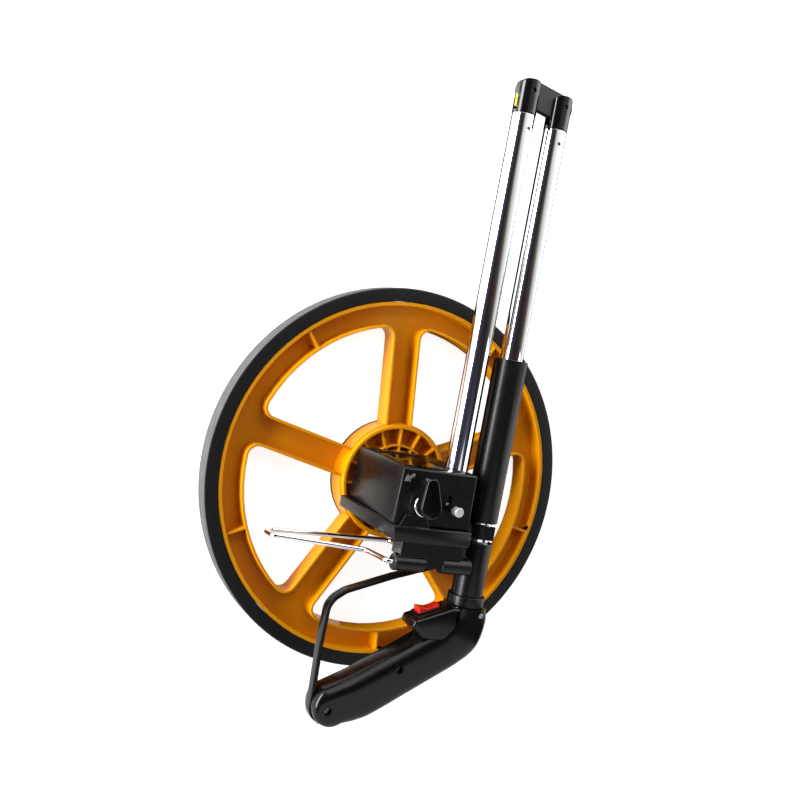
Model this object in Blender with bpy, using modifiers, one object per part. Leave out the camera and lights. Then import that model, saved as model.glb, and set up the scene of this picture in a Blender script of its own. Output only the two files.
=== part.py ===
"""Folded distance measuring wheel on its tyre: X across the tubes, Y along them, Z along the axle."""

import math

import bmesh
import bpy
from mathutils import Matrix, Vector

# Units
MM = 0.001
DEG = math.pi / 180.0

# Fits
GAP = 0.3 * MM
CUT_MARGIN = 2.0 * MM
OVERRUN = 10.0 * MM
JOIN = 0.8 * MM
MERGE = 0.00001

# Pieces whose many close walls the exact solver leaves open
CLOSE_WALLED = ("wheel_moulding", "grip_shell_near", "grip_shell_far")

# Segment counts
FINE_STEPS = 72
ROUND_STEPS = 32
SMALL_STEPS = 20
WIRE_SIDES = 2
ARC_STEPS = 5

# Wheel
WHEEL_RADIUS = 159.0 * MM
TYRE_WIDTH = 18.5 * MM
TYRE_DEPTH = 11.0 * MM
TYRE_INNER = WHEEL_RADIUS - TYRE_DEPTH
TYRE_EDGE = 1.6 * MM
RIM_OUTER = TYRE_INNER - GAP
RIM_LIP = 3.2 * MM
RIM_DEPTH = 20.4 * MM
RIM_INNER = RIM_OUTER - RIM_DEPTH
RIM_INNER_LIP = 2.0 * MM
RIM_BACK = 0.6 * MM
RIM_FRONT = 18.2 * MM
WEB_FRONT = 3.6 * MM
SPOKES = 5
SPOKE_ANGLE = 95.4 * DEG
SPOKE_WIDTH = 25.0 * MM
SPOKE_WALL = 2.2 * MM
GAP_CORNER = 8.0 * MM
HUB_FRONT_RADIUS = 46.4 * MM
HUB_REAR_RADIUS = 48.2 * MM
HUB_WALL = 2.6 * MM
HUB_BACK = 2.0 * MM
HUB_FRONT = 22.0 * MM
HUB_FLOOR = 5.0 * MM
BOSS_OUTER = 25.5 * MM
BOSS_WALL = 2.4 * MM
HUB_RIBS = 15
HUB_RIB_WIDTH = 1.8 * MM
HUB_RIB_ANGLE = 92.0 * DEG
HUB_RIB_FRONT = 20.4 * MM
RIM_RIB_WIDTH = 2.0 * MM
RIM_RIB_FRONT = 17.6 * MM
BACK_DISC_RADIUS = 49.2 * MM
HUB_BORE = 9.0 * MM

# Axle
AXLE_RADIUS = 4.0 * MM
AXLE_NUT_ACROSS = 13.0 * MM
HUB_CORE_RADIUS = 9.0 * MM
HUB_CORE_FRONT = 20.0 * MM

# Counter box: rear and front sections of a body that tapers
BOX_REAR = 24.4 * MM
BOX_FRONT = 104.0 * MM
BASE_FRONT = 107.0 * MM
COVER_TOP_REAR = 25.4 * MM
COVER_TOP_FRONT = 23.2 * MM
COVER_LEFT_TOP_REAR = -38.5 * MM
COVER_LEFT_TOP_FRONT = -36.2 * MM
COVER_LEFT_LOW_REAR = -41.0 * MM
COVER_LEFT_LOW_FRONT = -37.8 * MM
COVER_RIGHT_TOP = 27.4 * MM
COVER_RIGHT_LOW = 27.9 * MM
BASE_TOP_REAR = -15.3 * MM
BASE_TOP_FRONT = -20.2 * MM
BASE_LOW_REAR = -24.4 * MM
BASE_LOW_FRONT = -32.0 * MM
BASE_LEFT_REAR = -47.4 * MM
BASE_LEFT_FRONT = -37.6 * MM
BASE_LEFT_LOW_FRONT = -34.5 * MM
BASE_RIGHT = 29.4 * MM
COVER_WALL = 1.8 * MM
COVER_EDGE = 1.6 * MM
BASE_EDGE = 1.0 * MM
BASE_WALL_LEFT = -33.0 * MM
BASE_WALL_RIGHT = 24.0 * MM
BASE_WALL_TOP = 19.0 * MM
BASE_WALL_THICK = 5.0 * MM
BLOCK_LEFT = -27.4 * MM
BLOCK_RIGHT = 26.2 * MM
BLOCK_LOW = -42.8 * MM
BLOCK_FRONT = 105.5 * MM
BLOCK_REAR = 90.0 * MM
TAB_LEFT_SHARE = 0.064
TAB_WIDTH = 26.0 * MM
TAB_SLOPE = 4.2 * MM
TAB_RISE = 8.7 * MM
TAB_THICK = 2.2 * MM

# Lugs of the stand
LUG_Y = -48.3 * MM
LUG_Z = 100.0 * MM
LUG_RADIUS = 6.5 * MM
LEFT_LUG_FROM = -29.8 * MM
LEFT_LUG_TO = -4.6 * MM
RIGHT_LUG_FROM = 10.2 * MM
RIGHT_LUG_TO = 35.6 * MM
WEB_FOOT = -50.6 * MM
WEB_REAR = 102.6 * MM

# Stand wire
STAND_WIRE = 2.0 * MM
STAND_BEND = (-38.5 * MM, 70.0 * MM)
STAND_OUTER = (-106.0 * MM, 47.0 * MM)
STAND_TIP = (-108.0 * MM, 34.0 * MM)
STAND_INNER = (-102.0 * MM, 27.0 * MM)
STAND_LEG_X = 2.8 * MM
STAND_ROUND = 5.0 * MM
STAND_BEND_CLEAR = 4.0 * MM
STAND_END_REACH = 18.0 * MM

# Tubes
TUBE_Z = 87.0 * MM
TUBE_RADIUS = 9.0 * MM
TUBE_WALL = 1.2 * MM
LOWER_X = 16.9 * MM
UPPER_X = 47.3 * MM
LOWER_FOOT = -12.0 * MM
UPPER_FOOT = -62.0 * MM
SOCKET_WALL = 1.6 * MM

# Fold hinge
CAP_RADIUS = 9.3 * MM
LOWER_PIN_Y = 317.0 * MM
PIN_STEP = 4.4 * MM
UPPER_PIN_Y = LOWER_PIN_Y - PIN_STEP
CAP_BELOW_PIN = 17.5 * MM
LOWER_TOP = LOWER_PIN_Y - CAP_BELOW_PIN - GAP
UPPER_TOP = UPPER_PIN_Y - CAP_BELOW_PIN - GAP
SPIGOT = 14.0 * MM
SLOT_WIDTH = 7.0 * MM
SLOT_BELOW_PIN = 15.2 * MM
LINK_RADIUS = 10.0 * MM
LINK_THICK = SLOT_WIDTH - 2 * GAP
LINK_CORE_RADIUS = 7.0 * MM
GROOVE_WIDTH = 3.0 * MM
GROOVE_TURN = 48.0 * DEG
PIN_RADIUS = 1.6 * MM
PIN_RECESS = 1.4 * MM

# Lock sleeve
SLEEVE_RADIUS = 13.3 * MM
SLEEVE_BORE = 11.9 * MM
SLEEVE_LOW = -13.6 * MM
SLEEVE_TOP = 115.0 * MM
SLEEVE_COLLAR = 9.0 * MM
SLEEVE_EDGE = 0.5 * MM

# Neck, ferrule and ring screw
NECK_RADIUS = 12.5 * MM
NECK_TOP = -29.8 * MM
NECK_FOOT = -90.0 * MM
FERRULE_RADIUS = 14.7 * MM
FERRULE_TOP = -72.6 * MM
FERRULE_FOOT = -80.4 * MM

# Storage clip
CLIP_WALL = 2.4 * MM
CLIP_LOW = -26.6 * MM
CLIP_TOP = -15.6 * MM
CLIP_ARM_WIDTH = 12.0 * MM
CLIP_REACH = 7.7 * MM
GUSSET_TOP = -2.5 * MM
GUSSET_REACH = 4.4 * MM
GUSSET_THICK = 2.0 * MM

# Grip: stations are centre across, centre along, turn of the section, half height and half thickness
GRIP_SEAM = 0.15 * MM
GRIP_SIDES = 28
GRIP_STATIONS = (
    (47.4, -80.8, 0.0, 14.9, 14.6),
    (47.2, -91.0, 4.0, 16.6, 14.8),
    (42.5, -103.5, 27.0, 18.6, 15.2),
    (33.0, -112.5, 50.0, 17.8, 15.0),
    (18.0, -122.2, 58.0, 17.6, 14.8),
    (-4.0, -135.8, 58.5, 17.6, 14.6),
    (-30.0, -151.6, 58.5, 17.8, 14.4),
    (-43.0, -157.6, 57.0, 17.4, 14.2),
    (-54.0, -161.6, 55.0, 16.6, 13.8),
    (-59.2, -165.2, 55.0, 15.3, 13.4),
    (-63.6, -168.3, 55.0, 11.7, 12.4),
    (-66.4, -170.3, 55.0, 6.6, 10.8),
    (-67.4, -171.0, 55.0, 2.8, 9.0),
)
GRIP_SQUARE = 3.8
HOUSING_OUTLINE = (
    (36.0, -81.2),
    (30.2, -81.2),
    (-1.5, -92.4),
    (-2.6, -97.5),
    (8.0, -106.0),
    (36.0, -108.0),
)
HOUSING_NEAR = 14.4 * MM
HOUSING_FAR = 9.0 * MM
HOUSING_EDGE = 2.4 * MM
# Grip screws: place across and along, radius, foot and head
GRIP_SCREWS = (
    (-7.2, -130.8, 2.6, 0.6, 9.6),
    (-59.3, -164.0, 2.6, 0.6, 9.6),
    (55.2, -86.0, 1.9, 11.4, 14.2),
)

# Switch
SWITCH_CENTRE = (14.0, -86.9)
SWITCH_TURN = 19.4 * DEG
SWITCH_LENGTH = 21.0 * MM
SWITCH_WIDTH = 13.0 * MM
SWITCH_DEPTH = 13.0 * MM
SWITCH_RIM = 1.2 * MM
ROCKER_LENGTH = 17.6 * MM
ROCKER_WIDTH = 9.6 * MM
ROCKER_TILT = -9.0 * DEG
ROCKER_RISE = 4.4 * MM
ROCKER_VALLEY = 2.4 * MM
ROCKER_BELOW = 5.0 * MM
ROCKER_EDGE = 0.5 * MM

# Hand guard: middle line of the strap
GUARD_LINE = (
    (35.4, -45.6),
    (15.0, -51.6),
    (-21.7, -62.8),
    (-57.6, -75.8),
    (-69.6, -84.6),
    (-70.4, -114.7),
    (-69.4, -150.0),
    (-69.3, -169.5),
    (-60.3, -175.8),
)
GUARD_BEND = 15.0 * MM
GUARD_WIDTH = 9.0 * MM
GUARD_THICK = 3.2 * MM

# Counter
GEAR_MODULE = 0.8 * MM
GEAR_TEETH = 22
GEAR_CLEAR = 0.35 * MM
TIP_SHARE = 0.9
ROOT_SHARE = 1.15
TAPER_SHARE = 0.1
GEAR_REAR = 33.0 * MM
GEAR_THICK = 5.0 * MM
CENTRE_DISTANCE = GEAR_MODULE * GEAR_TEETH
SHAFT_ANGLE = 188.5 * DEG
SHAFT_RADIUS = 2.5 * MM
SHAFT_FRONT = 118.0 * MM
DRUM_NECK_RADIUS = 5.0 * MM
DRUMS = 5
DRUM_RADIUS = 13.5 * MM
DRUM_PITCH = 9.6 * MM
DRUM_WIDTH = 9.0 * MM
DRUM_FIRST = 44.0 * MM
LEVER_REAR = 112.0 * MM
LEVER_FRONT = 122.0 * MM
LEVER_END_RADIUS = 8.2 * MM
LEVER_TIP_RADIUS = 4.8 * MM
LEVER_LENGTH = 16.8 * MM
LEVER_TURN = 7.5 * DEG
COLLAR_RADIUS = 8.4 * MM
COLLAR_REAR = BOX_FRONT + GAP
COLLAR_THICK = LEVER_REAR - GAP - COLLAR_REAR
SHAFT_REAR = 30.6 * MM

# Brake pin
BRAKE_X = 6.2 * MM
BRAKE_Y = -3.4 * MM
BRAKE_TRAVEL = 7.0 * MM
BRAKE_RADIUS = 1.8 * MM
BRAKE_HEAD_RADIUS = 3.5 * MM
BRAKE_HEAD_RISE = 18.0 * MM
BRAKE_HEAD_FRONT = BOX_FRONT + BRAKE_HEAD_RISE
BRAKE_HEAD_THICK = 7.0 * MM
BRAKE_REAR = 98.0 * MM
BRAKE_FOOT_RADIUS = 3.4 * MM
BUSH_RADIUS = 3.0 * MM

# Window
WINDOW_LEFT = -29.0 * MM
WINDOW_RIGHT = 4.0 * MM
WINDOW_REAR = 34.0 * MM
WINDOW_FRONT = 97.0 * MM
WINDOW_THICK = 2.6 * MM
WINDOW_PROUD = 1.0 * MM
WINDOW_LEDGE = 1.5 * MM
WINDOW_EDGE = 0.5 * MM

# Fasteners
BASE_SCREW_RADIUS = 2.6 * MM
BASE_SCREW_THICK = 1.6 * MM
BASE_SCREW_SPOTS = ((-36.0, 34.0), (22.0, 34.0), (-20.0, 84.0), (20.0, 76.0))

# Lead
LEAD_RADIUS = 1.1 * MM
LEAD_ARC = 8.4 * MM
LEAD_LOW = 4.0 * MM
LEAD_LIFT = 1.5 * MM
LEAD_SIDE_LIFT = 3.0 * MM

# Pieces that turn with the handle
HANDLE_PIECES = (
    "upper_tube",
    "upper_hinge_cap",
    "upper_hinge_pin",
    "neck_tube",
    "ferrule",
    "grip_shell_near",
    "grip_shell_far",
    "grip_screw_1",
    "grip_screw_2",
    "grip_screw_3",
    "hand_guard",
    "switch_body",
)

# Colours
RUBBER = (0.012, 0.012, 0.013, 1.0)
ORANGE = (0.9, 0.42, 0.01, 1.0)
BLACK_SATIN = (0.02, 0.02, 0.021, 1.0)
BLACK_GLOSS = (0.012, 0.012, 0.013, 1.0)
CHROME = (0.85, 0.85, 0.87, 1.0)
STEEL = (0.6, 0.6, 0.62, 1.0)
CLEAR = (0.85, 0.9, 0.92, 1.0)
WHITE = (0.85, 0.85, 0.82, 1.0)
RED = (0.75, 0.02, 0.015, 1.0)
LEAD_YELLOW = (0.8, 0.66, 0.12, 1.0)
NYLON = (0.7, 0.68, 0.6, 1.0)

for old in list(bpy.data.objects):
    bpy.data.objects.remove(old, do_unlink=True)

parts = bpy.data.collections.new("measuring_wheel")
cutters = bpy.data.collections.new("cutters")
bpy.context.scene.collection.children.link(parts)
bpy.context.scene.collection.children.link(cutters)
cutters.hide_render = True


def material(name, colour, metallic=0.0, roughness=0.4, transmission=0.0):
    made = bpy.data.materials.new(name)
    made.use_nodes = True
    shader = made.node_tree.nodes["Principled BSDF"]
    shader.inputs["Base Color"].default_value = colour
    shader.inputs["Metallic"].default_value = metallic
    shader.inputs["Roughness"].default_value = roughness
    shader.inputs["Transmission Weight"].default_value = transmission
    made.diffuse_color = colour
    return made


def new_object(name, mesh, collection=parts):
    made = bpy.data.objects.new(name, mesh)
    collection.objects.link(made)
    if collection is cutters:
        made.hide_render = True
        made.display_type = "WIRE"
    return made


def dress(part, *look):
    part.data.materials.clear()
    part.data.materials.append(material(part.name, *look))
    return part


def turn_to(axis):
    """The rotation that takes +Z to the given direction."""
    return Vector((0, 0, 1)).rotation_difference(Vector(axis)).to_matrix().to_4x4()


def rod(name, radius, start, end, steps=ROUND_STEPS, collection=parts, end_radius=None):
    """A cylinder or cone between two points; its origin is on its own axis."""
    start = Vector(start)
    along = Vector(end) - start
    mesh = bpy.data.meshes.new(name)
    work = bmesh.new()
    bmesh.ops.create_cone(
        work,
        cap_ends=True,
        segments=steps,
        radius1=radius,
        radius2=radius if end_radius is None else end_radius,
        depth=along.length,
    )
    bmesh.ops.translate(work, vec=Vector((0, 0, along.length / 2)), verts=work.verts)
    bmesh.ops.transform(work, matrix=turn_to(along), verts=work.verts)
    work.to_mesh(mesh)
    work.free()
    made = new_object(name, mesh, collection)
    made.location = start
    return made


def hexahedron(name, rear, front, collection=parts):
    """A block between two sections: x low left, top left, low right, top right, then y low, y high and z."""
    mesh = bpy.data.meshes.new(name)
    work = bmesh.new()
    bmesh.ops.create_cube(work, size=2.0)
    for vert in work.verts:
        low_left, top_left, low_right, top_right, low, high, level = front if vert.co.z > 0 else rear
        upper = vert.co.y > 0
        right = top_right if upper else low_right
        left = top_left if upper else low_left
        vert.co = Vector((right if vert.co.x > 0 else left, high if upper else low, level))
    work.to_mesh(mesh)
    work.free()
    return new_object(name, mesh, collection)


def block(name, low, high, collection=parts):
    """An upright box between two opposite corners."""
    return hexahedron(
        name,
        (low[0], low[0], high[0], high[0], low[1], high[1], low[2]),
        (low[0], low[0], high[0], high[0], low[1], high[1], high[2]),
        collection,
    )


def to_mesh(curve_object, name, collection):
    """Turns a curve object into a mesh with welded caps, in the same place."""
    bpy.context.view_layer.update()
    evaluated = curve_object.evaluated_get(bpy.context.evaluated_depsgraph_get())
    mesh = bpy.data.meshes.new_from_object(evaluated)
    place = curve_object.matrix_world.copy()
    bpy.data.objects.remove(curve_object, do_unlink=True)
    work = bmesh.new()
    work.from_mesh(mesh)
    bmesh.ops.remove_doubles(work, verts=work.verts, dist=MERGE)
    bmesh.ops.recalc_face_normals(work, faces=work.faces)
    work.to_mesh(mesh)
    work.free()
    mesh.name = name
    made = new_object(name, mesh, collection)
    made.matrix_world = place
    return made


def plate(name, outlines, rear, front, collection=parts):
    """A flat piece from closed outlines in X and Y, filled between two heights; inner outlines are holes."""
    curve = bpy.data.curves.new(name, "CURVE")
    curve.dimensions = "2D"
    curve.fill_mode = "BOTH"
    curve.extrude = (front - rear) / 2
    for outline in outlines:
        spline = curve.splines.new("POLY")
        spline.points.add(len(outline) - 1)
        for point, (x, y) in zip(spline.points, outline):
            point.co = (x, y, 0, 1)
        spline.use_cyclic_u = True
    made = bpy.data.objects.new(name, curve)
    parts.objects.link(made)
    made.location = (0, 0, (rear + front) / 2)
    return to_mesh(made, name, collection)


def wire(name, points, radius, origin=(0, 0, 0), collection=parts):
    """A round wire through points, with filled ends and its own origin."""
    curve = bpy.data.curves.new(name, "CURVE")
    curve.dimensions = "3D"
    curve.bevel_depth = radius
    curve.bevel_resolution = WIRE_SIDES
    curve.use_fill_caps = True
    spline = curve.splines.new("POLY")
    spline.points.add(len(points) - 1)
    for point, place in zip(spline.points, points):
        point.co = (*(Vector(place) - Vector(origin)), 1)
    made = bpy.data.objects.new(name, curve)
    parts.objects.link(made)
    made.location = origin
    return to_mesh(made, name, collection)


def turned(name, profile, place, axis=(0, 0, 1), steps=FINE_STEPS, collection=parts):
    """A closed ring profile of radius and height, turned about the axis through the place."""
    mesh = bpy.data.meshes.new(name)
    count = len(profile)
    edges = [(k, (k + 1) % count) for k in range(count)]
    mesh.from_pydata([(r, 0, h) for r, h in profile], edges, [])
    made = new_object(name, mesh, collection)
    made.matrix_world = Matrix.Translation(Vector(place)) @ turn_to(axis)
    screw = made.modifiers.new("turn", "SCREW")
    screw.steps = steps
    screw.render_steps = steps
    screw.use_merge_vertices = True
    screw.merge_threshold = MERGE
    return made


def boolean(part, other, operation):
    modifier = part.modifiers.new(operation.lower(), "BOOLEAN")
    modifier.operation = operation
    modifier.solver = "MANIFOLD" if part.name in CLOSE_WALLED else "EXACT"
    modifier.object = other
    return part


def cut(part, *others):
    for other in others:
        boolean(part, other, "DIFFERENCE")
    return part


def join(part, *others):
    for other in others:
        boolean(part, other, "UNION")
    return part


def soften(part, width, segments=2, angle=35.0 * DEG):
    bevel = part.modifiers.new("edges", "BEVEL")
    bevel.width = width
    bevel.segments = segments
    bevel.limit_method = "ANGLE"
    bevel.angle_limit = angle
    return part


def smooth(part, angle=35.0 * DEG):
    for face in part.data.polygons:
        face.use_smooth = True
    part.data.set_sharp_from_angle(angle=angle)
    return part


def arc(centre, radius, start, end, steps):
    """Points on a circle from one angle to another, both included."""
    spots = []
    for k in range(steps + 1):
        angle = start + (end - start) * k / steps
        spots.append((centre[0] + radius * math.cos(angle), centre[1] + radius * math.sin(angle)))
    return spots


def circle(centre, radius, steps):
    return arc(centre, radius, 0, math.tau, steps)[:-1]


def rounded(points, radius, steps=ARC_STEPS):
    """A path whose inner corners are arcs tangent to both sides."""
    path = [Vector(points[0])]
    for before, corner, after in zip(points, points[1:], points[2:]):
        corner = Vector(corner)
        back = Vector(before) - corner
        ahead = Vector(after) - corner
        half = back.angle(ahead) / 2
        reach = min(radius / math.tan(half), back.length / 2, ahead.length / 2)
        fitted = reach * math.tan(half)
        middle = corner + (back.normalized() + ahead.normalized()).normalized() * (fitted / math.sin(half))
        first = corner + back.normalized() * reach - middle
        last = corner + ahead.normalized() * reach - middle
        sweep = first.angle(last)
        if sweep < MERGE:
            path.append(corner)
            continue
        for k in range(steps + 1):
            share = k / steps
            before_weight = math.sin((1 - share) * sweep) / math.sin(sweep)
            after_weight = math.sin(share * sweep) / math.sin(sweep)
            path.append(middle + first * before_weight + last * after_weight)
    path.append(Vector(points[-1]))
    return path


def spoke_gap(number, wall):
    """Outline of the opening between two spokes; wall moves it outwards into the moulding."""
    inner = HUB_REAR_RADIUS - wall
    outer = RIM_INNER + wall
    side = SPOKE_WIDTH / 2 - wall
    corner = GAP_CORNER + wall
    start = SPOKE_ANGLE + number * math.tau / SPOKES
    end = start + math.tau / SPOKES
    reach_in = math.asin(side / inner)
    centre_radius = outer - corner
    reach_out = math.asin((side + corner) / centre_radius)
    outline = arc((0, 0), inner, end - reach_in, start + reach_in, ARC_STEPS * 2)
    first = start + reach_out
    centre = (centre_radius * math.cos(first), centre_radius * math.sin(first))
    outline += arc(centre, corner, start - math.pi / 2, first, ARC_STEPS)
    last = end - reach_out
    outline += arc((0, 0), outer, first, last, ARC_STEPS * 2)[1:-1]
    centre = (centre_radius * math.cos(last), centre_radius * math.sin(last))
    outline += arc(centre, corner, last, end + math.pi / 2, ARC_STEPS)
    return outline


def radial_wall(name, inner, outer, angle, width, rear, front):
    """A straight wall along a radius of the wheel."""
    across = Vector((-math.sin(angle), math.cos(angle))) * (width / 2)
    along = Vector((math.cos(angle), math.sin(angle)))
    outline = [along * inner - across, along * outer - across, along * outer + across, along * inner + across]
    return plate(name, [[tuple(point) for point in outline]], rear, front, cutters)


# Wheel moulding: one solid outline, hollowed from the front by the same outline with thinner walls
gaps = [spoke_gap(number, 0) for number in range(SPOKES)]
moulding = plate("wheel_moulding", [circle((0, 0), RIM_OUTER, FINE_STEPS)] + gaps, RIM_BACK, RIM_FRONT)
hub_solid = rod(
    "hub_solid",
    HUB_REAR_RADIUS + JOIN,
    (0, 0, RIM_BACK + JOIN / 2),
    (0, 0, HUB_FRONT),
    FINE_STEPS,
    cutters,
    HUB_FRONT_RADIUS,
)
disc_recess = rod(
    "disc_recess",
    BACK_DISC_RADIUS + GAP,
    (0, 0, -CUT_MARGIN),
    (0, 0, HUB_BACK),
    FINE_STEPS,
    cutters,
)
channel_walls = [spoke_gap(number, SPOKE_WALL) for number in range(SPOKES)]
hub_edge = HUB_FRONT_RADIUS - HUB_WALL / 2
channel = plate(
    "channel",
    [circle((0, 0), RIM_OUTER - RIM_LIP, FINE_STEPS), *channel_walls, circle((0, 0), hub_edge, FINE_STEPS)],
    WEB_FRONT,
    HUB_FRONT + CUT_MARGIN,
    cutters,
)
hub_hollow = turned(
    "hub_hollow",
    [
        (BOSS_OUTER, HUB_FRONT + CUT_MARGIN),
        (HUB_FRONT_RADIUS - HUB_WALL, HUB_FRONT + CUT_MARGIN),
        (HUB_FRONT_RADIUS - HUB_WALL, HUB_FLOOR),
        (BOSS_OUTER, HUB_FLOOR),
    ],
    (0, 0, 0),
    collection=cutters,
)
boss_hollow = turned(
    "boss_hollow",
    [
        (HUB_CORE_RADIUS + BOSS_WALL, HUB_FRONT + CUT_MARGIN),
        (BOSS_OUTER - BOSS_WALL, HUB_FRONT + CUT_MARGIN),
        (BOSS_OUTER - BOSS_WALL, HUB_FLOOR),
        (HUB_CORE_RADIUS + BOSS_WALL, HUB_FLOOR),
    ],
    (0, 0, 0),
    collection=cutters,
)
hub_bore = rod(
    "hub_bore",
    HUB_BORE + GAP,
    (0, 0, -CUT_MARGIN),
    (0, 0, HUB_FRONT + CUT_MARGIN),
    ROUND_STEPS,
    cutters,
)
cut(moulding, channel)
join(moulding, hub_solid)
cut(moulding, hub_hollow, boss_hollow, disc_recess, hub_bore)
for number in range(HUB_RIBS):
    angle = HUB_RIB_ANGLE + number * math.tau / HUB_RIBS
    rib = radial_wall(
        f"hub_rib_{number}",
        BOSS_OUTER - BOSS_WALL / 2,
        hub_edge,
        angle,
        HUB_RIB_WIDTH,
        HUB_FLOOR - JOIN,
        HUB_RIB_FRONT,
    )
    join(moulding, rib)
for number in range(SPOKES):
    angle = SPOKE_ANGLE + (number + 1 / 2) * math.tau / SPOKES
    rib = radial_wall(
        f"rim_rib_{number}",
        RIM_INNER + RIM_INNER_LIP / 2,
        RIM_OUTER - RIM_LIP / 2,
        angle,
        RIM_RIB_WIDTH,
        WEB_FRONT - JOIN,
        RIM_RIB_FRONT,
    )
    join(moulding, rib)
dress(moulding, ORANGE, 0.0, 0.35)

# Tyre: a rounded band with a bead that sits in the moulding's edge
tyre_profile = [
    (TYRE_INNER, TYRE_WIDTH),
    (WHEEL_RADIUS - TYRE_EDGE, TYRE_WIDTH),
    (WHEEL_RADIUS, TYRE_WIDTH - TYRE_EDGE),
    (WHEEL_RADIUS, TYRE_EDGE),
    (WHEEL_RADIUS - TYRE_EDGE, 0),
    (TYRE_INNER, 0),
]
tyre = turned("tyre", tyre_profile, (0, 0, 0), steps=FINE_STEPS)
dress(tyre, RUBBER, 0.0, 0.75)

back_disc = turned(
    "hub_back_disc",
    [
        (AXLE_RADIUS + GAP, HUB_BACK - GAP),
        (BACK_DISC_RADIUS, HUB_BACK - GAP),
        (BACK_DISC_RADIUS, 0),
        (AXLE_RADIUS + GAP, 0),
    ],
    (0, 0, 0),
)
dress(back_disc, BLACK_SATIN, 0.0, 0.45)

hub_insert = turned(
    "hub_insert",
    [
        (AXLE_RADIUS + GAP, HUB_CORE_FRONT),
        (HUB_BORE, HUB_CORE_FRONT),
        (HUB_BORE, HUB_BACK + GAP),
        (AXLE_RADIUS + GAP, HUB_BACK + GAP),
    ],
    (0, 0, 0),
    steps=ROUND_STEPS,
)
dress(hub_insert, STEEL, 1.0, 0.35)

# Axle with its nut and drive gear
axle = turned(
    "axle",
    [
        (0, GEAR_REAR + GEAR_THICK + BASE_WALL_THICK),
        (AXLE_RADIUS, GEAR_REAR + GEAR_THICK + BASE_WALL_THICK),
        (AXLE_RADIUS, 0),
        (0, 0),
    ],
    (0, 0, 0),
    steps=ROUND_STEPS,
)
dress(axle, STEEL, 1.0, 0.3)

nut_outline = circle((0, 0), AXLE_NUT_ACROSS / 2 / math.cos(math.pi / 6), 6)
axle_nut = plate(
    "axle_nut",
    [nut_outline, circle((0, 0), AXLE_RADIUS + GAP, ROUND_STEPS)],
    HUB_CORE_FRONT + GAP,
    BOX_REAR - GAP,
)
dress(axle_nut, STEEL, 1.0, 0.3)


def gear_outline(phase):
    """Straight-flanked teeth about the origin, with a tooth centred on the phase angle."""
    pitch_radius = GEAR_MODULE * GEAR_TEETH / 2
    tip = pitch_radius + GEAR_MODULE * TIP_SHARE
    root = pitch_radius - GEAR_MODULE * ROOT_SHARE
    step = math.tau / GEAR_TEETH
    half_pitch = step / 4 - GEAR_CLEAR / pitch_radius / 2
    half_tip = half_pitch - step * TAPER_SHARE
    half_root = half_pitch + step * TAPER_SHARE
    outline = []
    for tooth in range(GEAR_TEETH):
        middle = phase + tooth * step
        for radius, offset in ((root, -half_root), (tip, -half_tip), (tip, half_tip), (root, half_root)):
            outline.append((radius * math.cos(middle + offset), radius * math.sin(middle + offset)))
    return outline


SHAFT_X = CENTRE_DISTANCE * math.cos(SHAFT_ANGLE)
SHAFT_Y = CENTRE_DISTANCE * math.sin(SHAFT_ANGLE)

drive_gear = plate(
    "drive_gear",
    [gear_outline(SHAFT_ANGLE), circle((0, 0), AXLE_RADIUS + GAP, ROUND_STEPS)],
    GEAR_REAR,
    GEAR_REAR + GEAR_THICK,
)
dress(drive_gear, NYLON, 0.0, 0.4)

# Counter: gear, drums, shaft, collar and reset lever share one axis
half_tooth = math.pi / GEAR_TEETH
counter_gear = plate(
    "counter_gear",
    [gear_outline(SHAFT_ANGLE + math.pi + half_tooth), circle((0, 0), SHAFT_RADIUS + GAP, SMALL_STEPS)],
    GEAR_REAR,
    GEAR_REAR + GEAR_THICK,
)
counter_gear.location.x = SHAFT_X
counter_gear.location.y = SHAFT_Y
dress(counter_gear, NYLON, 0.0, 0.4)

for number in range(DRUMS):
    rear = DRUM_FIRST + number * DRUM_PITCH
    rear -= (DRUM_FIRST - GEAR_REAR - GEAR_THICK - GAP) if number == 0 else 0
    drum = turned(
        f"number_drum_{number + 1}",
        [
            (SHAFT_RADIUS + GAP, DRUM_FIRST + number * DRUM_PITCH + DRUM_WIDTH),
            (DRUM_RADIUS, DRUM_FIRST + number * DRUM_PITCH + DRUM_WIDTH),
            (DRUM_RADIUS, DRUM_FIRST + number * DRUM_PITCH),
            (DRUM_NECK_RADIUS, DRUM_FIRST + number * DRUM_PITCH),
            (DRUM_NECK_RADIUS, rear),
            (SHAFT_RADIUS + GAP, rear),
        ]
        if number == 0
        else [
            (SHAFT_RADIUS + GAP, rear + DRUM_WIDTH),
            (DRUM_RADIUS, rear + DRUM_WIDTH),
            (DRUM_RADIUS, rear),
            (SHAFT_RADIUS + GAP, rear),
        ],
        (SHAFT_X, SHAFT_Y, 0),
        steps=ROUND_STEPS,
    )
    dress(drum, WHITE if number else RED, 0.0, 0.4)

reset_shaft = rod(
    "reset_shaft",
    SHAFT_RADIUS,
    (SHAFT_X, SHAFT_Y, SHAFT_REAR),
    (SHAFT_X, SHAFT_Y, SHAFT_FRONT),
    SMALL_STEPS,
)
dress(reset_shaft, STEEL, 1.0, 0.3)

collar = turned(
    "reset_collar",
    [
        (SHAFT_RADIUS + GAP, COLLAR_REAR + COLLAR_THICK),
        (COLLAR_RADIUS - GAP, COLLAR_REAR + COLLAR_THICK),
        (COLLAR_RADIUS, COLLAR_REAR + COLLAR_THICK - GAP),
        (COLLAR_RADIUS, COLLAR_REAR),
        (SHAFT_RADIUS + GAP, COLLAR_REAR),
    ],
    (SHAFT_X, SHAFT_Y, 0),
    steps=ROUND_STEPS,
)
dress(collar, CHROME, 1.0, 0.12)

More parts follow.
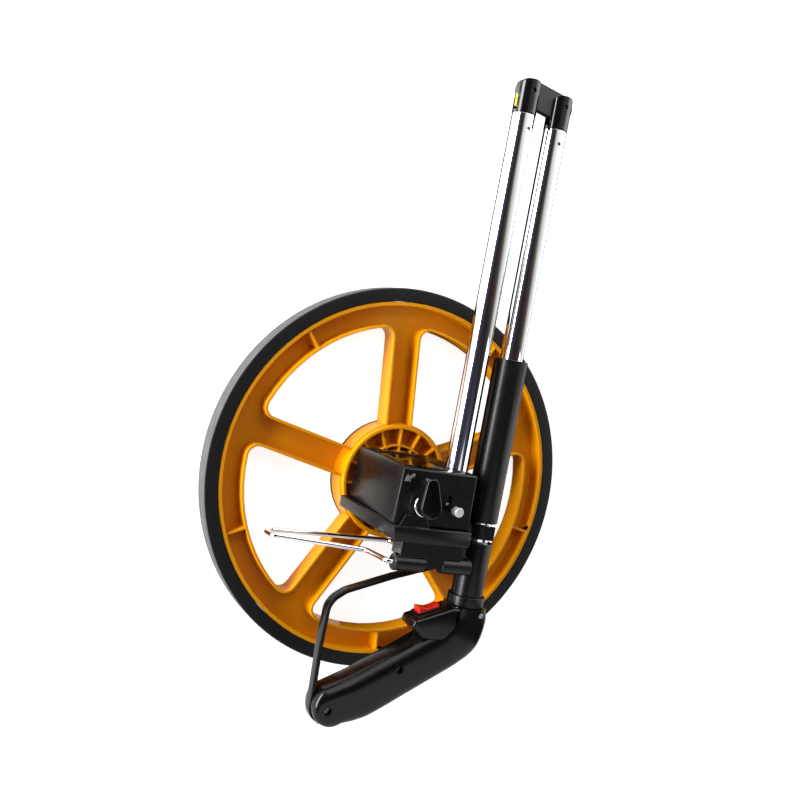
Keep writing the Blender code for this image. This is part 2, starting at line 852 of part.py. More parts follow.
lean = math.asin((LEVER_END_RADIUS - LEVER_TIP_RADIUS) / LEVER_LENGTH)
lever_outline = arc((0, 0), LEVER_END_RADIUS, math.pi - lean, math.tau + lean, ARC_STEPS * 3)
lever_outline += arc((0, LEVER_LENGTH), LEVER_TIP_RADIUS, lean, math.pi - lean, ARC_STEPS * 2)
lever = plate("reset_lever", [lever_outline], LEVER_REAR, LEVER_FRONT)
lever.location.x = SHAFT_X
lever.location.y = SHAFT_Y
lever.rotation_euler.z = LEVER_TURN
shaft_socket = rod(
    "shaft_socket",
    SHAFT_RADIUS + GAP,
    (SHAFT_X, SHAFT_Y, COLLAR_REAR),
    (SHAFT_X, SHAFT_Y, SHAFT_FRONT + GAP),
    SMALL_STEPS,
    cutters,
)
cut(lever, shaft_socket)
dress(lever, BLACK_GLOSS, 0.0, 0.3)


def level(rear_value, front_value, z, rear_z=BOX_REAR, front_z=BASE_FRONT):
    """A value that changes evenly between the rear and the front of the box."""
    return rear_value + (front_value - rear_value) * (z - rear_z) / (front_z - rear_z)


# Counter box: cover
cover_low_rear = BASE_TOP_REAR + GAP
cover_low_front = level(BASE_TOP_REAR, BASE_TOP_FRONT, BOX_FRONT) + GAP
cover = hexahedron(
    "housing_cover",
    (
        COVER_LEFT_LOW_REAR,
        COVER_LEFT_TOP_REAR,
        COVER_RIGHT_LOW,
        COVER_RIGHT_TOP,
        cover_low_rear,
        COVER_TOP_REAR,
        BOX_REAR,
    ),
    (
        COVER_LEFT_LOW_FRONT,
        COVER_LEFT_TOP_FRONT,
        COVER_RIGHT_LOW,
        COVER_RIGHT_TOP,
        cover_low_front,
        COVER_TOP_FRONT,
        BOX_FRONT,
    ),
)
soften(cover, COVER_EDGE)
cover_hollow = hexahedron(
    "cover_hollow",
    (
        COVER_LEFT_LOW_REAR + COVER_WALL,
        COVER_LEFT_TOP_REAR + COVER_WALL,
        COVER_RIGHT_LOW - COVER_WALL,
        COVER_RIGHT_TOP - COVER_WALL,
        cover_low_rear - OVERRUN,
        COVER_TOP_REAR - COVER_WALL,
        BOX_REAR - CUT_MARGIN,
    ),
    (
        COVER_LEFT_LOW_FRONT + COVER_WALL,
        COVER_LEFT_TOP_FRONT + COVER_WALL,
        COVER_RIGHT_LOW - COVER_WALL,
        COVER_RIGHT_TOP - COVER_WALL,
        cover_low_front - OVERRUN,
        COVER_TOP_FRONT - COVER_WALL,
        BOX_FRONT - COVER_WALL,
    ),
    cutters,
)
shaft_hole = rod(
    "shaft_hole",
    SHAFT_RADIUS + GAP,
    (SHAFT_X, SHAFT_Y, BOX_FRONT - COVER_WALL - CUT_MARGIN),
    (SHAFT_X, SHAFT_Y, BOX_FRONT + CUT_MARGIN),
    SMALL_STEPS,
    cutters,
)
slot_half = BRAKE_RADIUS + GAP
slot_outline = arc((BRAKE_X, BRAKE_Y), slot_half, math.pi, math.tau, ARC_STEPS * 2)
slot_outline += arc((BRAKE_X, BRAKE_Y + BRAKE_TRAVEL), slot_half, 0, math.pi, ARC_STEPS * 2)
brake_slot = plate(
    "brake_slot",
    [slot_outline],
    BOX_FRONT - COVER_WALL - CUT_MARGIN,
    BOX_FRONT + CUT_MARGIN,
    cutters,
)
tube_hole = rod(
    "tube_hole",
    TUBE_RADIUS + GAP,
    (LOWER_X, LOWER_FOOT, TUBE_Z),
    (LOWER_X, COVER_TOP_REAR + OVERRUN, TUBE_Z),
    FINE_STEPS,
    cutters,
)
window_seat = block(
    "window_seat",
    (WINDOW_LEFT - GAP, COVER_TOP_FRONT + WINDOW_PROUD - WINDOW_THICK - GAP, WINDOW_REAR - GAP),
    (WINDOW_RIGHT + GAP, COVER_TOP_REAR + OVERRUN / 2, WINDOW_FRONT + GAP),
    cutters,
)
window_opening = block(
    "window_opening",
    (WINDOW_LEFT + WINDOW_LEDGE, 0, WINDOW_REAR + WINDOW_LEDGE),
    (WINDOW_RIGHT - WINDOW_LEDGE, COVER_TOP_REAR + CUT_MARGIN, WINDOW_FRONT - WINDOW_LEDGE),
    cutters,
)
window_frame = block(
    "window_frame",
    (WINDOW_LEFT - COVER_WALL, COVER_TOP_FRONT - COVER_WALL * 2, WINDOW_REAR - COVER_WALL),
    (WINDOW_RIGHT + COVER_WALL, COVER_TOP_FRONT - COVER_WALL / 2, WINDOW_FRONT + COVER_WALL),
    cutters,
)
tab_left = COVER_LEFT_LOW_FRONT + TAB_LEFT_SHARE * (COVER_RIGHT_LOW - COVER_LEFT_LOW_FRONT)
cut(cover, cover_hollow)
join(cover, window_frame)
cut(cover, window_seat, window_opening, shaft_hole, brake_slot, tube_hole)
dress(cover, BLACK_SATIN, 0.0, 0.42)

window = block(
    "window_lens",
    (WINDOW_LEFT, COVER_TOP_FRONT + WINDOW_PROUD - WINDOW_THICK, WINDOW_REAR),
    (WINDOW_RIGHT, COVER_TOP_FRONT + WINDOW_PROUD, WINDOW_FRONT),
)
soften(window, WINDOW_EDGE, 1)
dress(window, CLEAR, 0.0, 0.05, 1.0)

# Counter box: base tray with the rear wall, the tube socket, the lug block and the lugs
base = hexahedron(
    "base_tray",
    (BASE_LEFT_REAR, BASE_LEFT_REAR, BASE_RIGHT, BASE_RIGHT, BASE_LOW_REAR, BASE_TOP_REAR, BOX_REAR),
    (BASE_LEFT_LOW_FRONT, BASE_LEFT_FRONT, BASE_RIGHT, BASE_RIGHT, BASE_LOW_FRONT, BASE_TOP_FRONT, BASE_FRONT),
)
soften(base, BASE_EDGE)
rear_wall = block(
    "rear_wall",
    (BASE_WALL_LEFT, BASE_TOP_REAR - CUT_MARGIN, BOX_REAR + GAP),
    (BASE_WALL_RIGHT, BASE_WALL_TOP, BOX_REAR + BASE_WALL_THICK),
    cutters,
)
socket = rod(
    "socket",
    TUBE_RADIUS + SOCKET_WALL - GAP,
    (LOWER_X, BASE_LOW_FRONT + OVERRUN / 2, TUBE_Z),
    (LOWER_X, 0, TUBE_Z),
    FINE_STEPS,
    cutters,
)
socket_trim = block(
    "socket_trim",
    (COVER_RIGHT_TOP - COVER_WALL - GAP, BASE_LOW_FRONT, BOX_REAR),
    (COVER_RIGHT_TOP + OVERRUN, COVER_TOP_REAR, BOX_FRONT),
    cutters,
)
socket_bore = rod(
    "socket_bore",
    TUBE_RADIUS + GAP,
    (LOWER_X, LOWER_FOOT - GAP, TUBE_Z),
    (LOWER_X, CUT_MARGIN, TUBE_Z),
    FINE_STEPS,
    cutters,
)
lug_block = block(
    "lug_block",
    (BLOCK_LEFT, BLOCK_LOW, BLOCK_REAR),
    (BLOCK_RIGHT, BASE_LOW_REAR - JOIN, BLOCK_FRONT),
    cutters,
)
left_lug, right_lug = (
    rod(name, LUG_RADIUS, (start, LUG_Y, LUG_Z), (end, LUG_Y, LUG_Z), ROUND_STEPS, cutters)
    for name, start, end in (
        ("left_lug", LEFT_LUG_FROM, LEFT_LUG_TO),
        ("right_lug", RIGHT_LUG_FROM, RIGHT_LUG_TO),
    )
)
lug_web = block(
    "lug_web",
    (LEFT_LUG_TO - JOIN, WEB_FOOT, WEB_REAR),
    (RIGHT_LUG_FROM + JOIN, BLOCK_LOW + JOIN, BLOCK_FRONT),
    cutters,
)
lug_bore = rod(
    "lug_bore",
    STAND_WIRE + GAP,
    (LEFT_LUG_FROM - CUT_MARGIN, LUG_Y, LUG_Z),
    (RIGHT_LUG_TO - CUT_MARGIN, LUG_Y, LUG_Z),
    SMALL_STEPS,
    cutters,
)
axle_hole = rod(
    "axle_hole",
    AXLE_RADIUS + GAP,
    (0, 0, BOX_REAR - CUT_MARGIN),
    (0, 0, BOX_REAR + BASE_WALL_THICK + CUT_MARGIN),
    ROUND_STEPS,
    cutters,
)
tab = plate(
    "tab",
    [
        [
            (tab_left, BASE_TOP_FRONT - JOIN),
            (tab_left + TAB_WIDTH, BASE_TOP_FRONT - JOIN),
            (tab_left + TAB_WIDTH - TAB_SLOPE, BASE_TOP_FRONT + TAB_RISE),
            (tab_left + TAB_SLOPE, BASE_TOP_FRONT + TAB_RISE),
        ]
    ],
    BOX_FRONT + GAP,
    BOX_FRONT + GAP + TAB_THICK,
    cutters,
)
cut(socket, socket_trim)
join(base, rear_wall, socket)
join(base, lug_block, left_lug, right_lug, lug_web, tab)
cut(base, socket_bore, lug_bore, axle_hole)
dress(base, BLACK_SATIN, 0.0, 0.42)

# Brake pin: stud with a foot inside the cover and a sleeve outside it
brake_pin = turned(
    "brake_pin",
    [
        (0, BRAKE_HEAD_FRONT),
        (BRAKE_HEAD_RADIUS - GAP, BRAKE_HEAD_FRONT),
        (BRAKE_HEAD_RADIUS, BRAKE_HEAD_FRONT - GAP),
        (BRAKE_HEAD_RADIUS, BRAKE_HEAD_FRONT - BRAKE_HEAD_THICK),
        (BRAKE_RADIUS, BRAKE_HEAD_FRONT - BRAKE_HEAD_THICK),
        (BRAKE_RADIUS, BOX_FRONT - COVER_WALL - GAP),
        (BRAKE_FOOT_RADIUS, BOX_FRONT - COVER_WALL - GAP),
        (BRAKE_FOOT_RADIUS, BRAKE_REAR),
        (0, BRAKE_REAR),
    ],
    (BRAKE_X, BRAKE_Y, 0),
    steps=SMALL_STEPS,
)
dress(brake_pin, CHROME, 1.0, 0.15)
brake_bush = turned(
    "brake_bush",
    [
        (BRAKE_RADIUS + GAP, BRAKE_HEAD_FRONT - BRAKE_HEAD_THICK - GAP),
        (BUSH_RADIUS, BRAKE_HEAD_FRONT - BRAKE_HEAD_THICK - GAP),
        (BUSH_RADIUS, BOX_FRONT + GAP),
        (BRAKE_RADIUS + GAP, BOX_FRONT + GAP),
    ],
    (BRAKE_X, BRAKE_Y, 0),
    steps=SMALL_STEPS,
)
dress(brake_bush, BLACK_SATIN, 0.0, 0.4)

# Stand: one wire from the left lug round to the inner end of the right lug
stand_points = [
    (LEFT_LUG_TO - CUT_MARGIN, LUG_Y, LUG_Z),
    (LEFT_LUG_FROM - STAND_BEND_CLEAR, LUG_Y, LUG_Z),
    (STAND_BEND[0], LUG_Y, STAND_BEND[1]),
    (STAND_OUTER[0], LUG_Y, STAND_OUTER[1]),
    (STAND_TIP[0], LUG_Y, STAND_TIP[1]),
    (STAND_INNER[0], LUG_Y, STAND_INNER[1]),
    (STAND_LEG_X, LUG_Y, STAND_INNER[1]),
    (STAND_LEG_X, LUG_Y, LUG_Z),
    (RIGHT_LUG_FROM + STAND_END_REACH, LUG_Y, LUG_Z),
]
stand = wire("stand_wire", rounded(stand_points, STAND_ROUND), STAND_WIRE, (0, LUG_Y, LUG_Z))
dress(stand, CHROME, 1.0, 0.1)

# Tubes
lower_tube = turned(
    "lower_tube",
    [
        (TUBE_RADIUS - TUBE_WALL, LOWER_TOP - LOWER_FOOT),
        (TUBE_RADIUS, LOWER_TOP - LOWER_FOOT),
        (TUBE_RADIUS, 0),
        (TUBE_RADIUS - TUBE_WALL, 0),
    ],
    (LOWER_X, LOWER_FOOT, TUBE_Z),
    (0, 1, 0),
    steps=ROUND_STEPS,
)
dress(lower_tube, CHROME, 1.0, 0.08)
upper_tube = turned(
    "upper_tube",
    [
        (TUBE_RADIUS - TUBE_WALL, UPPER_TOP - UPPER_FOOT),
        (TUBE_RADIUS, UPPER_TOP - UPPER_FOOT),
        (TUBE_RADIUS, 0),
        (TUBE_RADIUS - TUBE_WALL, 0),
    ],
    (UPPER_X, UPPER_FOOT, TUBE_Z),
    (0, 1, 0),
    steps=ROUND_STEPS,
)
dress(upper_tube, CHROME, 1.0, 0.08)


# Fold hinge: forked caps, link and pins
def hinge_cap(name, tube_x, pin_y):
    """A forked plug in a tube's end, with a rounded top about the pin and a slot for the link."""
    base_y = pin_y - CAP_BELOW_PIN
    body = rod(name, CAP_RADIUS, (tube_x, base_y, TUBE_Z), (tube_x, pin_y + CAP_RADIUS, TUBE_Z), ROUND_STEPS)
    outline = arc((tube_x, pin_y), CAP_RADIUS + MERGE, 0, math.pi, ARC_STEPS * 4)
    outline.append((tube_x - CAP_RADIUS - MERGE, base_y - CUT_MARGIN))
    outline.append((tube_x + CAP_RADIUS + MERGE, base_y - CUT_MARGIN))
    half = CAP_RADIUS + CUT_MARGIN
    envelope = plate(name + "_envelope", [outline], TUBE_Z - half, TUBE_Z + half, cutters)
    slot = block(
        name + "_slot",
        (tube_x - CAP_RADIUS - CUT_MARGIN, pin_y - SLOT_BELOW_PIN, TUBE_Z - SLOT_WIDTH / 2),
        (tube_x + CAP_RADIUS + CUT_MARGIN, pin_y + CAP_RADIUS + CUT_MARGIN, TUBE_Z + SLOT_WIDTH / 2),
        cutters,
    )
    spigot = rod(
        name + "_spigot",
        TUBE_RADIUS - TUBE_WALL - GAP,
        (tube_x, base_y - SPIGOT, TUBE_Z),
        (tube_x, base_y + JOIN, TUBE_Z),
        ROUND_STEPS,
        cutters,
    )
    lead_hole = rod(
        name + "_lead_hole",
        LEAD_RADIUS * 2,
        (tube_x, base_y - SPIGOT - CUT_MARGIN, TUBE_Z),
        (tube_x, pin_y - SLOT_BELOW_PIN + CUT_MARGIN, TUBE_Z),
        SMALL_STEPS,
        cutters,
    )
    pin_hole = rod(
        name + "_pin_hole",
        PIN_RADIUS + GAP,
        (tube_x, pin_y, TUBE_Z - CAP_RADIUS - CUT_MARGIN),
        (tube_x, pin_y, TUBE_Z + CAP_RADIUS + CUT_MARGIN),
        SMALL_STEPS,
        cutters,
    )
    boolean(body, envelope, "INTERSECT")
    join(body, spigot)
    cut(body, slot, lead_hole, pin_hole)
    return dress(body, BLACK_SATIN, 0.0, 0.38)


hinge_cap("lower_hinge_cap", LOWER_X, LOWER_PIN_Y)
hinge_cap("upper_hinge_cap", UPPER_X, UPPER_PIN_Y)

link_lean = math.atan2(UPPER_PIN_Y - LOWER_PIN_Y, UPPER_X - LOWER_X)
over_link = link_lean + math.pi / 2
under_link = link_lean - math.pi / 2
link_outline = arc((LOWER_X, LOWER_PIN_Y), LINK_RADIUS, over_link, under_link + math.tau, ARC_STEPS * 3)
link_outline += arc((UPPER_X, UPPER_PIN_Y), LINK_RADIUS, under_link, over_link, ARC_STEPS * 3)
link = plate(
    "fold_link",
    [
        link_outline,
        circle((LOWER_X, LOWER_PIN_Y), PIN_RADIUS + GAP, SMALL_STEPS),
        circle((UPPER_X, UPPER_PIN_Y), PIN_RADIUS + GAP, SMALL_STEPS),
    ],
    TUBE_Z - LINK_THICK / 2,
    TUBE_Z + LINK_THICK / 2,
)
groove_start, groove_end = math.pi + GROOVE_TURN, -GROOVE_TURN
groove_outline = arc((LOWER_X, LOWER_PIN_Y), LINK_CORE_RADIUS, groove_start, over_link, ARC_STEPS * 3)
groove_outline += arc((UPPER_X, UPPER_PIN_Y), LINK_CORE_RADIUS, over_link, groove_end, ARC_STEPS * 3)
groove_outline += arc((UPPER_X, UPPER_PIN_Y), LINK_RADIUS + CUT_MARGIN, groove_end, over_link, ARC_STEPS * 3)
groove_outline += arc((LOWER_X, LOWER_PIN_Y), LINK_RADIUS + CUT_MARGIN, over_link, groove_start, ARC_STEPS * 3)
lead_groove = plate(
    "lead_groove",
    [groove_outline],
    TUBE_Z - GROOVE_WIDTH / 2,
    TUBE_Z + GROOVE_WIDTH / 2,
    cutters,
)
cut(link, lead_groove)
dress(link, STEEL, 0.8, 0.45)

for name, x, y in (("lower_hinge_pin", LOWER_X, LOWER_PIN_Y), ("upper_hinge_pin", UPPER_X, UPPER_PIN_Y)):
    reach = CAP_RADIUS - PIN_RECESS
    pin = rod(name, PIN_RADIUS, (x, y, TUBE_Z - reach), (x, y, TUBE_Z + reach), SMALL_STEPS)
    dress(pin, STEEL, 1.0, 0.3)


# Lock sleeve: it rides on the upper tube by its lower collar and clears the caps
sleeve = turned(
    "lock_sleeve",
    [
        (SLEEVE_BORE, SLEEVE_TOP - SLEEVE_LOW),
        (SLEEVE_RADIUS - SLEEVE_EDGE, SLEEVE_TOP - SLEEVE_LOW),
        (SLEEVE_RADIUS, SLEEVE_TOP - SLEEVE_LOW - SLEEVE_EDGE),
        (SLEEVE_RADIUS, SLEEVE_EDGE),
        (SLEEVE_RADIUS - SLEEVE_EDGE, 0),
        (TUBE_RADIUS + GAP, 0),
        (TUBE_RADIUS + GAP, SLEEVE_COLLAR),
        (SLEEVE_BORE, SLEEVE_COLLAR),
    ],
    (UPPER_X, SLEEVE_LOW, TUBE_Z),
    (0, 1, 0),
    steps=ROUND_STEPS,
)
dress(sleeve, BLACK_GLOSS, 0.0, 0.28)

# Neck: a tube over the upper tube's end, running on into the grip
neck = turned(
    "neck_tube",
    [
        (TUBE_RADIUS + GAP, NECK_TOP - NECK_FOOT),
        (NECK_RADIUS - SLEEVE_EDGE, NECK_TOP - NECK_FOOT),
        (NECK_RADIUS, NECK_TOP - NECK_FOOT - SLEEVE_EDGE),
        (NECK_RADIUS, 0),
        (TUBE_RADIUS + GAP, 0),
    ],
    (UPPER_X, NECK_FOOT, TUBE_Z),
    (0, 1, 0),
    steps=ROUND_STEPS,
)
dress(neck, BLACK_SATIN, 0.0, 0.4)

# Ferrule: a ring round the neck with a small tab towards the guard
ferrule = turned(
    "ferrule",
    [
        (NECK_RADIUS + GAP, FERRULE_TOP - FERRULE_FOOT),
        (FERRULE_RADIUS - SLEEVE_EDGE, FERRULE_TOP - FERRULE_FOOT),
        (FERRULE_RADIUS, FERRULE_TOP - FERRULE_FOOT - SLEEVE_EDGE),
        (FERRULE_RADIUS, 0),
        (NECK_RADIUS + GAP, 0),
    ],
    (UPPER_X, FERRULE_FOOT, TUBE_Z),
    (0, 1, 0),
    steps=ROUND_STEPS,
)
dress(ferrule, BLACK_SATIN, 0.0, 0.4)


# Grip: rounded sections along a bent line, split at the middle
def grip_body(name, collection):
    """A loft through the stations, each a rounded section across the grip's middle plane."""
    mesh = bpy.data.meshes.new(name)
    work = bmesh.new()
    rings = []
    for x, y, turn, half_height, half_thick in GRIP_STATIONS:
        across = Vector((math.cos(turn * DEG), -math.sin(turn * DEG), 0))
        ring = []
        for k in range(GRIP_SIDES):
            angle = (k + 1 / 2) * math.tau / GRIP_SIDES
            wide = math.copysign(abs(math.cos(angle)) ** (2 / GRIP_SQUARE), math.cos(angle))
            deep = math.copysign(abs(math.sin(angle)) ** (2 / GRIP_SQUARE), math.sin(angle))
            place = Vector((x * MM, y * MM, TUBE_Z)) + across * (half_height * MM * wide)
            place.z += half_thick * MM * deep
            ring.append(work.verts.new(place))
        rings.append(ring)
    for before, after in zip(rings, rings[1:]):
        for k in range(GRIP_SIDES):
            following = (k + 1) % GRIP_SIDES
            work.faces.new((before[k], before[following], after[following], after[k]))
    work.faces.new(list(reversed(rings[0])))
    work.faces.new(rings[-1])
    bmesh.ops.recalc_face_normals(work, faces=work.faces)
    work.to_mesh(mesh)
    work.free()
    return new_object(name, mesh, collection)


switch_up = Vector((-math.sin(SWITCH_TURN), math.cos(SWITCH_TURN), 0))
switch_along = Vector((math.cos(SWITCH_TURN), math.sin(SWITCH_TURN), 0))
switch_place = Vector((SWITCH_CENTRE[0] * MM, SWITCH_CENTRE[1] * MM, TUBE_Z))


def switch_frame():
    """The placement whose X runs along the rocker, Y across it and Z out of the grip."""
    across = switch_up.cross(switch_along)
    frame = Matrix((switch_along, across, switch_up)).transposed().to_4x4()
    frame.translation = switch_place
    return frame


def place_box(name, length, width, low, high, collection=parts):
    """A box in the switch's own placement, with its origin on the rocking axis."""
    made = block(name, (-length / 2, -width / 2, low), (length / 2, width / 2, high), collection)
    made.matrix_world = switch_frame()
    return made


for side, name in ((1, "grip_shell_near"), (-1, "grip_shell_far")):
    shell = grip_body(name, parts)
    outline = [(x * MM, y * MM) for x, y in HOUSING_OUTLINE]
    housing = plate(name + "_housing", [outline], TUBE_Z - HOUSING_FAR, TUBE_Z + HOUSING_NEAR, cutters)
    soften(housing, HOUSING_EDGE, 3)
    half_rear = TUBE_Z + GRIP_SEAM if side > 0 else TUBE_Z - FERRULE_RADIUS * 2
    half_front = TUBE_Z + FERRULE_RADIUS * 2 if side > 0 else TUBE_Z - GRIP_SEAM
    keep = block(
        name + "_keep",
        (-WHEEL_RADIUS * 2, -WHEEL_RADIUS * 2, half_rear),
        (WHEEL_RADIUS * 2, 0, half_front),
        cutters,
    )
    neck_pocket = rod(
        name + "_neck_pocket",
        NECK_RADIUS + GAP,
        (UPPER_X, NECK_FOOT - GAP, TUBE_Z),
        (UPPER_X, FERRULE_TOP, TUBE_Z),
        ROUND_STEPS,
        cutters,
    )
    switch_pocket = place_box(
        name + "_switch_pocket",
        SWITCH_LENGTH + GAP * 2,
        SWITCH_WIDTH + GAP * 2,
        -SWITCH_DEPTH - GAP,
        OVERRUN,
        cutters,
    )
    join(shell, housing)
    boolean(shell, keep, "INTERSECT")
    cut(shell, neck_pocket, switch_pocket)
    dress(shell, BLACK_SATIN, 0.0, 0.45)

# Switch body and rocker
switch_body = place_box("switch_body", SWITCH_LENGTH, SWITCH_WIDTH, -SWITCH_DEPTH, SWITCH_RIM)
switch_hollow = place_box(
    "switch_hollow",
    ROCKER_LENGTH + GAP * 4,
    ROCKER_WIDTH + GAP * 2,
    -ROCKER_BELOW - SWITCH_RIM,
    SWITCH_RIM + CUT_MARGIN,
    cutters,
)
cut(switch_body, switch_hollow)
dress(switch_body, BLACK_SATIN, 0.0, 0.4)

rocker_half = ROCKER_LENGTH / 2
rocker_outline = [
    (-rocker_half, -ROCKER_BELOW / 2),
    (0, -ROCKER_BELOW),
    (rocker_half, -ROCKER_BELOW / 2),
    (rocker_half, ROCKER_RISE),
    (0, ROCKER_VALLEY),
    (-rocker_half, ROCKER_RISE),
]
rocker = plate("rocker_switch", [rocker_outline], -ROCKER_WIDTH / 2, ROCKER_WIDTH / 2)
rocker_turn = Matrix.Rotation(math.pi / 2, 4, "X") @ Matrix.Rotation(ROCKER_TILT, 4, "Z")
rocker.matrix_world = switch_frame() @ rocker_turn
soften(rocker, ROCKER_EDGE, 1)
dress(rocker, RED, 0.0, 0.3)

# Hand guard: a flat strap along its middle line
def strap_outline(path, thickness):
    """Both sides of a flat path, as one closed outline."""
    sides = ([], [])
    for k, place in enumerate(path):
        ahead = path[min(k + 1, len(path) - 1)]
        behind = path[max(k - 1, 0)]
        along = (ahead - behind).normalized()
        for side, turn in zip(sides, (1, -1)):
            side.append((place.x - turn * along.y * thickness / 2, place.y + turn * along.x * thickness / 2))
    return sides[0] + sides[1][::-1]


guard_path = rounded([(x * MM, y * MM, 0) for x, y in GUARD_LINE], GUARD_BEND)
guard_rear = TUBE_Z - GUARD_WIDTH / 2
guard_front = TUBE_Z + GUARD_WIDTH / 2
guard = plate("hand_guard", [strap_outline(guard_path, GUARD_THICK)], guard_rear, guard_front)
guard_cut = rod(
    "guard_cut",
    NECK_RADIUS + GAP,
    (UPPER_X, NECK_FOOT, TUBE_Z),
    (UPPER_X, NECK_TOP + OVERRUN, TUBE_Z),
    ROUND_STEPS,
    cutters,
)
cut(guard, guard_cut)
dress(guard, BLACK_SATIN, 0.0, 0.35)
end_path = list(guard_path)
end_path[-1] = end_path[-1] + (end_path[-1] - end_path[-2]).normalized() * GAP
guard_slot = plate(
    "guard_slot",
    [strap_outline(end_path, GUARD_THICK + GAP * 2)],
    guard_rear - GAP,
    guard_front + GAP,
    cutters,
)
for name in ("grip_shell_near", "grip_shell_far"):
    cut(bpy.data.objects[name], guard_slot)

# Grip screws: two heads lie below the surface of the near shell, the small one is flush with it
for number, (x, y, radius, foot, head) in enumerate(GRIP_SCREWS):
    screw = rod(
        f"grip_screw_{number + 1}",
        radius * MM,
        (x * MM, y * MM, TUBE_Z + foot * MM),
        (x * MM, y * MM, TUBE_Z + head * MM),
        SMALL_STEPS,
    )
    dress(screw, STEEL, 1.0, 0.3)
    hole = rod(
        "screw_hole",
        radius * MM + GAP,
        (x * MM, y * MM, TUBE_Z + foot * MM - GAP),
        (x * MM, y * MM, TUBE_Z + FERRULE_RADIUS * 2),
        SMALL_STEPS,
        cutters,
    )
    cut(bpy.data.objects["grip_shell_near"], hole)

# Storage clip: a U round the folded tube, open to the side that the tube leaves by, on an arm from the base
clip_inner = TUBE_RADIUS + GAP
clip_outer = clip_inner + CLIP_WALL
clip_outline = arc((0, 0), clip_outer, math.pi / 2, math.pi * 3 / 2, ARC_STEPS * 3)
clip_outline += [(CLIP_REACH, -clip_outer), (CLIP_REACH, -clip_inner)]
clip_outline += arc((0, 0), clip_inner, math.pi * 3 / 2, math.pi / 2, ARC_STEPS * 3)
clip_outline += [(CLIP_REACH, clip_inner), (CLIP_REACH, clip_outer)]
clip_height = CLIP_TOP - CLIP_LOW
clip_place = Matrix.Translation(Vector((UPPER_X, CLIP_LOW + clip_height / 2, TUBE_Z)))
clip = plate("storage_clip", [clip_outline], -clip_height / 2, clip_height / 2)
clip.matrix_world = clip_place @ Matrix.Rotation(math.pi / 2, 4, "X")
clip_arm = block(
    "clip_arm",
    (BASE_RIGHT + GAP, CLIP_LOW, TUBE_Z - CLIP_ARM_WIDTH / 2),
    (UPPER_X - clip_inner - JOIN, CLIP_TOP, TUBE_Z + CLIP_ARM_WIDTH / 2),
    cutters,
)
gusset = plate(
    "clip_gusset",
    [
        [
            (BASE_RIGHT + GAP, CLIP_TOP - JOIN),
            (BASE_RIGHT + GAP + GUSSET_REACH, CLIP_TOP - JOIN),
            (BASE_RIGHT + GAP, GUSSET_TOP),
        ]
    ],
    TUBE_Z,
    TUBE_Z + GUSSET_THICK,
    cutters,
)
join(clip, clip_arm, gusset)
dress(clip, BLACK_SATIN, 0.0, 0.4)

# Screws in the underside of the base
for number, (x, z) in enumerate(BASE_SCREW_SPOTS):
    low = level(BASE_LOW_REAR, BASE_LOW_FRONT, z * MM)
    screw = rod(
        f"base_screw_{number + 1}",
        BASE_SCREW_RADIUS,
        (x * MM, low + BASE_SCREW_THICK / 2, z * MM),
        (x * MM, low + BASE_SCREW_THICK * 3 / 2, z * MM),
        SMALL_STEPS,
    )
    dress(screw, STEEL, 1.0, 0.3)
    hole = rod(
        "base_screw_hole",
        BASE_SCREW_RADIUS + GAP,
        (x * MM, low - OVERRUN / 2, z * MM),
        (x * MM, low + BASE_SCREW_THICK * 3 / 2 + GAP, z * MM),
        SMALL_STEPS,
        cutters,
    )
    cut(base, hole)

# Lead: up the lower tube, over the link and down the upper tube to the switch
lower_floor = LOWER_PIN_Y - SLOT_BELOW_PIN
upper_floor = UPPER_PIN_Y - SLOT_BELOW_PIN
lead_flat = [(LOWER_X, LEAD_LOW), (LOWER_X, lower_floor + LEAD_LIFT)]
lead_flat += [(LOWER_X - LEAD_ARC, lower_floor + LEAD_SIDE_LIFT)]
lead_flat += arc((LOWER_X, LOWER_PIN_Y), LEAD_ARC, math.pi, over_link, ARC_STEPS * 2)
lead_flat += arc((UPPER_X, UPPER_PIN_Y), LEAD_ARC, over_link, 0, ARC_STEPS * 2)
lead_flat += [(UPPER_X + LEAD_ARC, upper_floor + LEAD_SIDE_LIFT), (UPPER_X, upper_floor + LEAD_LIFT)]
lead_flat += [(UPPER_X, NECK_FOOT + LEAD_LOW)]
lead_points = [(x, y, TUBE_Z) for x, y in lead_flat]
lead = wire("switch_lead", lead_points, LEAD_RADIUS)
dress(lead, LEAD_YELLOW, 0.0, 0.4)



def carry(name, place, pieces):
    """An empty on a joint's axis that carries pieces and the cutters that shape them."""
    pivot = bpy.data.objects.new(name, None)
    bpy.context.scene.collection.objects.link(pivot)
    pivot.location = place
    bpy.context.view_layer.update()
    for piece in [bpy.data.objects[piece] for piece in pieces]:
        tools = [modifier.object for modifier in piece.modifiers if modifier.type == "BOOLEAN"]
        for carried in [piece] + tools:
            carried.parent = pivot
            carried.matrix_parent_inverse = pivot.matrix_world.inverted()
    return pivot


# Carriers: the link turns on the lower pin, and all that folds with the handle turns on the upper one
link_pivot = carry("link_pivot", (LOWER_X, LOWER_PIN_Y, TUBE_Z), ["fold_link", "switch_lead"])
handle_pivot = carry("handle_pivot", (UPPER_X, UPPER_PIN_Y, TUBE_Z), HANDLE_PIECES)
sleeve.parent = handle_pivot
sleeve.matrix_parent_inverse = handle_pivot.matrix_world.inverted()
rocker.parent = handle_pivot
rocker.matrix_parent_inverse = handle_pivot.matrix_world.inverted()
handle_pivot.parent = link_pivot
handle_pivot.matrix_parent_inverse = link_pivot.matrix_world.inverted()

for part in parts.objects:
    smooth(part)
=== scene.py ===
"""Looks of the folded measuring wheel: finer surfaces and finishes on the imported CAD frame."""

import math

import bmesh
import bpy
import numpy as np
from mathutils import Matrix, Vector


